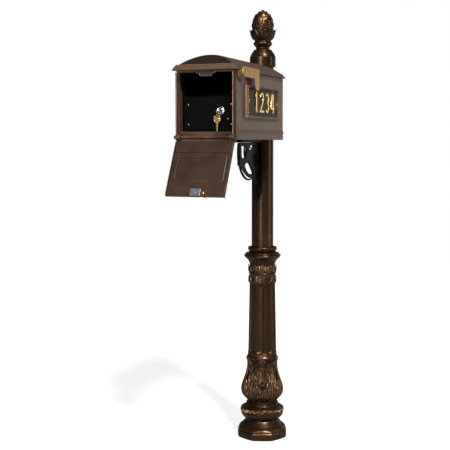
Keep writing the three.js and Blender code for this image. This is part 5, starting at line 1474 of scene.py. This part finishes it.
# %% Plate sheet
ring = [(sheet_y0, sheet_z0), (sheet_y1, sheet_z0), (sheet_y1, sheet_z1), (sheet_y0, sheet_z1)]
plate_sheet = cut_plate(ring, "x", sheet_x0, sheet_x1, 0.5)
edge_ring = rounded([(sheet_y0 + 4.5, sheet_z0 + 4.5), (sheet_y1 - 4.5, sheet_z0 + 4.5),
                     (sheet_y1 - 4.5, sheet_z1 - 4.5), (sheet_y0 + 4.5, sheet_z1 - 4.5)], 3, 5)
beading = bar([(sheet_x1, y, z) for y, z in edge_ring], 0.6, sides=8, material=plate_paint, loop=True)
show("number_plate_sheet", joined(plate_sheet, beading), plate_paint, ["number_plate"], sharp=None)


# %% Numerals
def arc(cx, cy, radius, start, end, steps=22):
    t = np.radians(np.linspace(start, end, steps))
    return [(cx + radius * math.cos(a), cy + radius * math.sin(a)) for a in t]


def stroke(points, width):
    """The outline of a stroke of one width along a line of points."""
    p = np.array(points, float)
    into = np.vstack([p[1] - p[0], np.diff(p, axis=0)])
    into /= np.linalg.norm(into, axis=1)[:, None]
    out = np.vstack([np.diff(p, axis=0), p[-1] - p[-2]])
    out /= np.linalg.norm(out, axis=1)[:, None]
    along = into + out
    along /= np.linalg.norm(along, axis=1)[:, None]
    stretch = np.minimum(1 / np.maximum((along * into).sum(axis=1), 0.5), 1.6)
    across = np.stack([-along[:, 1], along[:, 0]], axis=1) * (width / 2 * stretch)[:, None]
    return list(map(tuple, p + across)) + list(map(tuple, (p - across)[::-1]))


two = stroke(arc(19, 46.5, 14, 175, -25) + [(28, 34), (8, 10), (4.5, 4.5), (38, 4.5)], 9)
three = stroke(arc(18, 48.5, 12, 155, -60, 18) + [(20, 35)] + arc(18, 18.5, 14, 62, -150), 9)
one = [(13, 0), (25, 0), (25, 65), (16, 65), (6, 56), (6, 46), (13, 50)]
four = [(22, 0), (32, 0), (32, 13), (40, 13), (40, 21), (32, 21), (32, 65), (21, 65), (0, 21), (0, 13),
        (22, 13)]
shapes = [(rounded(one, 1.2, 3), []), (two, []), (three, []),
          (rounded(four, 1.2, 3), [rounded([(22, 21), (22, 46), (10, 21)], 1, 3)])]
for i, (outline, holes) in enumerate(shapes):
    node = f"numeral_{i + 1}"
    (numeral_x0, numeral_x1), (numeral_y0, _), (numeral_z0, _) = extent(node)
    shift = numeral_y0 - min(p[0] for p in outline)
    rise = numeral_z0 - min(p[1] for p in outline)
    place = [[(u + shift, v + rise) for u, v in line] for line in (outline, *holes)]
    show(node + "_cast", cut_plate(place[0], "x", numeral_x0, numeral_x1, 1.1, place[1:]), brass,
         [node], sharp=None)

# %% Plate screws and flag bolt
screw_z = 1174.5
plate_screws = fasteners(slotted_head(4.2, 2.5, 0.5),
                         [(sheet_x1 + 0.1, -416, screw_z), (sheet_x1 + 0.1, -147, screw_z)],
                         (1, 0, 0), brass, shank_radius=1.9, shank_length=6)
show("plate_screw_heads", plate_screws, brass, ["plate_screw_front", "plate_screw_rear"], sharp=25)
(_, bolt_x1), (bolt_y0, bolt_y1), (bolt_z0, bolt_z1) = extent("flag_bolt")
pivot_y, pivot_z = (bolt_y0 + bolt_y1) / 2, (bolt_z0 + bolt_z1) / 2
flag_bolt = fasteners(slotted_head(8.2, 3.0), [(bolt_x1 - 3.0, pivot_y, pivot_z)], (1, 0, 0), brass,
                      shank_radius=3, shank_length=24)
show("flag_bolt_head", flag_bolt, brass, ["flag_bolt"], sharp=25)
show("flag_nut_hex", eased(from_frame("flag_nut"), 0.4, 2), zinc, ["flag_nut"], sharp=None)

# %% [markdown]
# ## The flag
# The flag is a flat casting in satin gold: a bar with a round end at its pivot and a tapered leg at its
# rear. It turns on a bolt over a boss that is cast on the wall, and the boss has a stepped round edge.

# %% Flag and its boss
(boss_x0, boss_x1), _, (_, boss_z1) = extent("flag_boss")
boss_line = arc(pivot_y, pivot_z, 28, 180, 360, 40) + [(pivot_y + 28, boss_z1), (pivot_y - 28, boss_z1)]
inner_line = arc(pivot_y, pivot_z, 23, 180, 360, 36) + [(pivot_y + 23, boss_z1),
                                                        (pivot_y - 23, boss_z1)]
boss = joined(cut_plate(boss_line, "x", boss_x0, boss_x1 - 3.5, 1.6),
              cut_plate(inner_line, "x", boss_x0, boss_x1, 1.4))
show("flag_boss_stepped", boss, box_paint, ["flag_boss"], sharp=None)
(flag_x0, flag_x1), (_, flag_end), (flag_low, flag_high) = extent("flag")
half_high = flag_high - pivot_z
flag_line = [(*p, 0) for p in arc(pivot_y, pivot_z, half_high, 90, 270, 30)] + [
    (flag_end - 42, pivot_z - half_high, 4), (flag_end - 37, pivot_z - half_high - 12, 3),
    (flag_end - 28, flag_low, 1.5), (flag_end, flag_low, 1.5), (flag_end, flag_high, 1.5)]
t = np.linspace(0, 2 * math.pi, 32, endpoint=False)
bolt_hole = [(pivot_y + 3.3 * math.cos(a), pivot_z + 3.3 * math.sin(a)) for a in t]
show("flag_cast", cut_plate(rounded(flag_line, 1.5, 4), "x", flag_x0, flag_x1, 1.0, [bolt_hole]),
     flag_gold, ["flag"], body="flag", sharp=None)

# %% Finishes of the nodes that keep their own shape
kept = {"anchor_flange": black_steel, "finial_stud": zinc}
for node, material in kept.items():
    frame["nodes"][node].data.materials.clear()
    frame["nodes"][node].data.materials.append(material)
print("frame nodes still shown:", [n for n, o in frame["nodes"].items() if not o.hide_render])

# %% [markdown]
# ## The view
# The camera stands a little to the right of the front, at the height of the box, and looks slightly down.
# A long lens keeps the tall post upright and nearly free of perspective.

# %% Camera
heading, dip, roll = math.radians(21.22), math.radians(5.06), math.radians(-0.1)
looking = Vector((-math.sin(heading) * math.cos(dip), math.cos(heading) * math.cos(dip),
                  -math.sin(dip)))
level = looking.cross(Vector((0, 0, 1))).normalized()
above = level.cross(looking)
across_view = level * math.cos(roll) + above * math.sin(roll)
up_view = above * math.cos(roll) - level * math.sin(roll)
camera = bpy.data.objects.new("camera", bpy.data.cameras.new("camera"))
camera.data.lens, camera.data.sensor_width = 74.8, 36
turned_to = Matrix((across_view, up_view, -looking)).transposed().to_4x4()
camera.matrix_world = Matrix.Translation((1.07, -3.122, 1.05)) @ turned_to
bpy.context.scene.collection.objects.link(camera)
bpy.context.scene.camera = camera
print("camera at", [round(c, 2) for c in camera.location])

# %% [markdown]
# ## Light
# Dark bronze shows its shape by what it reflects, so the room is kept dark and a few lamps are placed. A
# high key lamp from the right front casts the box's shadow across the post. A tall soft panel in front
# draws one long highlight down the turned castings, a strip at the right draws their edge, and a faint
# card behind wakes the numerals.

# %% Lamps
def lamp(name, kind, energy, place, size=(1.0, 1.0), angle=0.0, aim=(0, 0, 0.8)):
    """A lamp at a place in metres, turned towards aim."""
    data = bpy.data.lights.new(name, kind)
    data.energy = energy
    if kind == "AREA":
        data.shape = "RECTANGLE"
        data.size, data.size_y = size
    else:
        data.angle = angle
    lit = bpy.data.objects.new(name, data)
    lit.location = place
    lit.rotation_euler = (Vector(aim) - Vector(place)).to_track_quat("-Z", "Y").to_euler()
    lit.visible_camera = False
    bpy.context.scene.collection.objects.link(lit)
    return lit


lamp("key", "SUN", 4.2, (1.84, -2.2, 3.5), angle=math.radians(7))
lamp("soft_panel", "AREA", 66, (0.0, -3.5, 1.8), size=(0.6, 2.4))
lamp("edge_strip", "AREA", 12, (3.0, 0.6, 1.2), size=(0.3, 2.2))
lamp("rear_card", "AREA", 4.6, (1.5, 3.4, 1.3), size=(1.0, 1.4))

# %% [markdown]
# The backdrop is white to the eye and dim to the metal. The same trick serves the floor, which glows a
# little where it is looked at, so that it meets the backdrop without a horizon and still takes a shadow.

# %% Backdrop and floor
world = bpy.data.worlds.new("studio")
bpy.context.scene.world = world
world.use_nodes = True
tree = world.node_tree
tree.nodes.clear()
dim = put(tree, "ShaderNodeBackground", {"Color": (1.0, 0.96, 0.9, 1), "Strength": 0.08})
white = put(tree, "ShaderNodeBackground", {"Color": (1, 1, 1, 1), "Strength": 1.0})
seen = put(tree, "ShaderNodeLightPath").outputs["Is Camera Ray"]
both = put(tree, "ShaderNodeMixShader", {0: seen, 1: dim.outputs[0], 2: white.outputs[0]})
put(tree, "ShaderNodeOutputWorld", {"Surface": both.outputs[0]})
bpy.context.scene.view_settings.view_transform = "Standard"

pale = bpy.data.materials.new("floor")
pale.use_nodes = True
shader = pale.node_tree.nodes["Principled BSDF"]
shader.inputs["Base Color"].default_value = (0.35, 0.35, 0.35, 1)
shader.inputs["Roughness"].default_value = 0.9
shader.inputs["Emission Color"].default_value = (1, 1, 1, 1)
seen = put(pale.node_tree, "ShaderNodeLightPath").outputs["Is Camera Ray"]
glow = calc(pale.node_tree, "MULTIPLY", seen, 0.8)
pale.node_tree.links.new(glow, shader.inputs["Emission Strength"])
round_edge = [(5000 * math.cos(a), 5000 * math.sin(a), 0) for a in np.linspace(0, 2 * math.pi, 96,
                                                                               endpoint=False)]
floor_mesh = mesh_of(round_edge, [tuple(range(96))])
floor_mesh.materials.append(pale)
floor = bpy.data.objects.new("floor", floor_mesh)
bpy.context.scene.collection.objects.link(floor)
